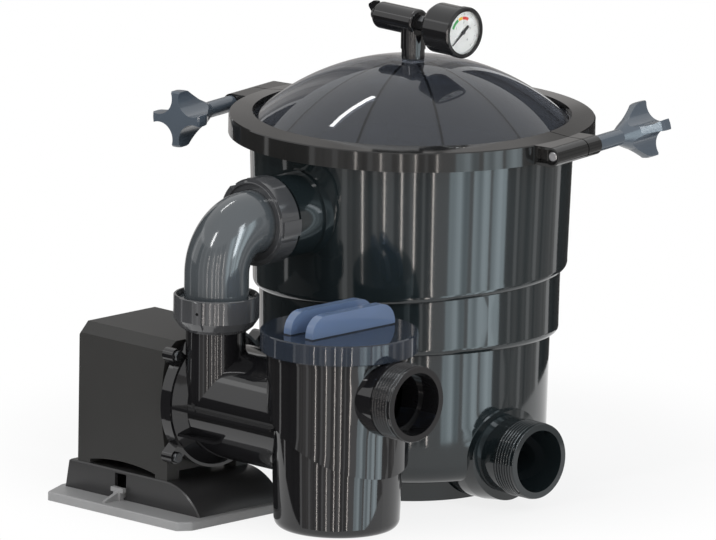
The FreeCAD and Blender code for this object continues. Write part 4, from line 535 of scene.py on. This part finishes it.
def build_world():
    """White all round where it is seen or mirrored, and a softer light on the part."""
    world = bpy.data.worlds.new("studio")
    SCENE.world = world
    world.use_nodes = True
    tree = world.node_tree
    tree.nodes.clear()
    light = add_node(tree, "ShaderNodeBackground", {"Color": (*WHITE, 1.0), "Strength": WORLD_LIGHT})
    white = add_node(tree, "ShaderNodeBackground", {"Color": (*WHITE, 1.0), "Strength": 1.0})
    mix = blend(tree, seen_directly(tree), light.outputs["Background"], white.outputs["Background"])
    add_node(tree, "ShaderNodeOutputWorld", {"Surface": mix})


def build_floor():
    """Round pale table top: it keeps the object's soft shadow and turns plain white towards its edge."""
    mesh = bpy.data.meshes.new("floor")
    shape = bmesh.new()
    bmesh.ops.create_circle(shape, cap_ends=True, radius=TABLE_R, segments=96)
    shape.to_mesh(mesh)
    shape.free()
    floor = new_object("floor", mesh)
    floor.location = TABLE_CENTRE
    mat, tree, shader = new_material("floor_white")
    feed(tree, shader, {"Base Color": TABLE_COLOR, "Roughness": 0.9, "Specular IOR Level": 0.1})
    glow = add_node(tree, "ShaderNodeEmission", {"Color": (*WHITE, 1.0), "Strength": 1.0})
    coords = add_node(tree, "ShaderNodeTexCoord")
    length = add_node(tree, "ShaderNodeVectorMath", {0: coords.outputs["Object"]}, operation="LENGTH")
    edge = (TABLE_R - TABLE_FADE_START, TABLE_R - TABLE_FADE_END)
    fade = remap(tree, length.outputs["Value"], edge, (TABLE_WHITE_SHARE, 1.0), curve="SMOOTHSTEP")
    share = calc(tree, "MULTIPLY", seen_directly(tree), fade)
    mix = blend(tree, share, shader.outputs["BSDF"], glow.outputs["Emission"])
    feed(tree, find_node(tree, "OUTPUT_MATERIAL"), {"Surface": mix})
    floor.data.materials.append(mat)


def card_paint(name, level, tint):
    """Glow of a card, uneven from side to side and even from top to bottom."""
    mat = bpy.data.materials.new(name)
    mat.use_nodes = True
    tree = mat.node_tree
    tree.nodes.clear()
    uneven = object_noise(tree, scale=CARD_NOISE, detail=5.0, stretch=(1.0, 1.0, 0.0))
    feed(tree, uneven, {"Roughness": 0.62})
    reach = (CARD_DIM * level, CARD_BRIGHT * level)
    strength = remap(tree, uneven.outputs["Fac"], CARD_NOISE_SPAN, reach)
    glow = add_node(tree, "ShaderNodeEmission", {"Color": (*tint, 1.0), "Strength": strength})
    add_node(tree, "ShaderNodeOutputMaterial", {"Surface": glow.outputs["Emission"]})
    return mat


def build_cards():
    """Upright cards that glossy plastic mirrors. They stand outside the picture and cast no shadow."""
    for name, level, tint, spans in CARDS:
        verts, faces = [], []
        for start, end in spans:
            panels = max(1, round((end - start) / CARD_PANEL))
            for i in range(panels):
                k = len(verts)
                for edge in (i, i + 1):
                    azimuth = VIEW_AZIMUTH + start + (end - start) * edge / panels
                    verts += [at_azimuth(azimuth, CARD_R, z) for z in (CARD_FOOT, CARD_TOP)]
                faces.append((k, k + 1, k + 3, k + 2))
        mesh = bpy.data.meshes.new(name)
        mesh.from_pydata(verts, [], faces)
        mesh.materials.append(card_paint(name, level, tint))
        card = new_object(name, mesh)
        card.visible_camera = card.visible_diffuse = False
        card.visible_shadow = card.visible_transmission = False


def softbox(name, azimuth, distance, height, size, watts, aim_z=0.25, tint=WHITE):
    """Rectangular area light that points at a height over the aiming spot."""
    place = at_azimuth(azimuth, distance, height)
    data = bpy.data.lights.new(name, "AREA")
    data.shape = "RECTANGLE"
    data.size, data.size_y = size
    data.energy = watts
    data.color = tint
    lamp = new_object(name, data)
    lamp.location = place
    lamp.rotation_mode = "QUATERNION"
    lamp.rotation_quaternion = (Vector((*LAMP_AIM, aim_z)) - place).to_track_quat("-Z", "Y")


def build_lights():
    """Key, fill and left softboxes, an overhead bar behind the tank and thin upright strips in front."""
    softbox("key", azimuth=5.0, distance=2.6, height=2.4, size=(0.30, 1.1), watts=20.0)
    softbox("fill", azimuth=91.0, distance=2.6, height=1.25, size=(0.40, 1.8), watts=26.0, tint=COOL)
    softbox("left", azimuth=-50.0, distance=2.8, height=1.2, size=(1.6, 1.6), watts=8.0)
    softbox("bar", azimuth=VIEW_AZIMUTH - 139.0, distance=1.40, height=2.6, size=(0.95, 0.09), watts=5.0,
            aim_z=0.38)
    for i, degrees in enumerate(STRIP_ANGLES):
        softbox(f"strip_{i}", azimuth=VIEW_AZIMUTH + degrees, distance=3.0, height=-0.9,
                size=(0.030, 4.2), watts=6.0, aim_z=-0.9, tint=WARM)


# ---- fine detail ----

def on_dial(radius, degrees):
    """Point of the print on the gauge's face."""
    a = math.radians(degrees)
    return Vector((DIAL_X + PRINT_LIFT, radius * math.cos(a), TEE_Z + radius * math.sin(a)))


def dial_band(name, start, end, mat):
    """Coloured band of the scale, drawn clockwise."""
    verts, faces = [], []
    for i in range(BAND_CUTS + 1):
        degrees = start + (end - start) * i / BAND_CUTS
        verts += [on_dial(BAND_IN_R, degrees), on_dial(BAND_OUT_R, degrees)]
    for k in range(0, 2 * BAND_CUTS, 2):
        faces.append((k, k + 2, k + 3, k + 1))
    flat_piece(name, verts, faces, mat)


def dial_number(text, degrees):
    """Plain number of the scale, standing upright."""
    name = "dial_number_" + text
    data = bpy.data.curves.new(name, "FONT")
    data.body = text
    data.size = NUMBER_SIZE
    data.align_x, data.align_y = "CENTER", "CENTER"
    label = new_object(name, data)
    bpy.context.view_layer.update()
    mesh = bpy.data.meshes.new_from_object(label)
    mesh.transform(along_x(*on_dial(NUMBER_R, degrees)))
    bpy.data.objects.remove(label)
    mesh.materials.clear()
    mesh.materials.append(INK)
    add_piece(name, mesh)


def build_dial():
    """Scale of the pressure gauge: 270 degrees from lower left, clockwise, with numbers and bands."""
    face = along_x(DIAL_X + PRINT_THICK / 2, 0.0, TEE_Z)
    ticks = tick_growth("scale_ticks", INK)
    for name, count, radius, length, width in TICKS:
        step = math.radians((SCALE_END - SCALE_START) / (count - 1))
        sizes = {"Count": count, "Radius": radius, "Length": length, "Width": width, "Thick": PRINT_THICK,
                 "Start": math.radians(SCALE_START), "Step": step}
        grow(name, ticks, sizes, face)
    dial_band("dial_band_green", start=160.0, end=116.0, mat=GREEN)
    dial_band("dial_band_yellow", start=113.0, end=92.0, mat=YELLOW)
    dial_band("dial_band_red", start=90.0, end=58.0, mat=RED)
    for i in range(0, SCALE_STEPS + 1, STEPS_PER_NUMBER):
        dial_number(str(i // STEPS_PER_NUMBER), SCALE_START + (SCALE_END - SCALE_START) * i / SCALE_STEPS)


def build_ports():
    """Thread on each port, and the rounded rim in front of it."""
    for name, node, y, z, start, end in PORTS:
        turns = (end - start - THREAD_SHORT) / THREAD_PITCH
        sizes = {"Radius": PORT_R - THREAD_SINK, "Pitch": THREAD_PITCH, "Turns": turns, "Ridge": THREAD_WIRE}
        ridge = thread_growth(name + "_ridge", LOOKS[node])
        grow(name + "_thread", ridge, sizes, along_x(start, y, z), smooth=True)
        sizes = {"Radius": PORT_R - RIM_SINK, "Wire": RIM_WIRE}
        ring = rim_growth(name + "_rim_wire", LOOKS[node])
        grow(name + "_rim", ring, sizes, along_x(end - RIM_BACK, y, z), smooth=True)


def build_socket_shades():
    """Flat dark hexagons on the heads of the four wet end bolts: painted shade in place of their hex
    sockets.
    """
    corners = [math.radians(60 * k) for k in range(6)]
    for i, degrees in enumerate(WET_BOLT_ANGLES):
        a = math.radians(degrees)
        y, z = PUMP_Y + WET_BOLT_R * math.cos(a), PUMP_Z + WET_BOLT_R * math.sin(a)
        verts = [(WET_BOLT_HEAD_X, y + SOCKET_R * math.cos(c), z + SOCKET_R * math.sin(c)) for c in corners]
        flat_piece(f"wet_bolt_socket_shade_{i}", verts, [tuple(range(6))], GAUGE)


SCENE.view_settings.view_transform = "Standard"
dress_nodes()
build_camera()
build_world()
build_floor()
build_lights()
build_cards()
build_dial()
build_ports()
build_socket_shades()
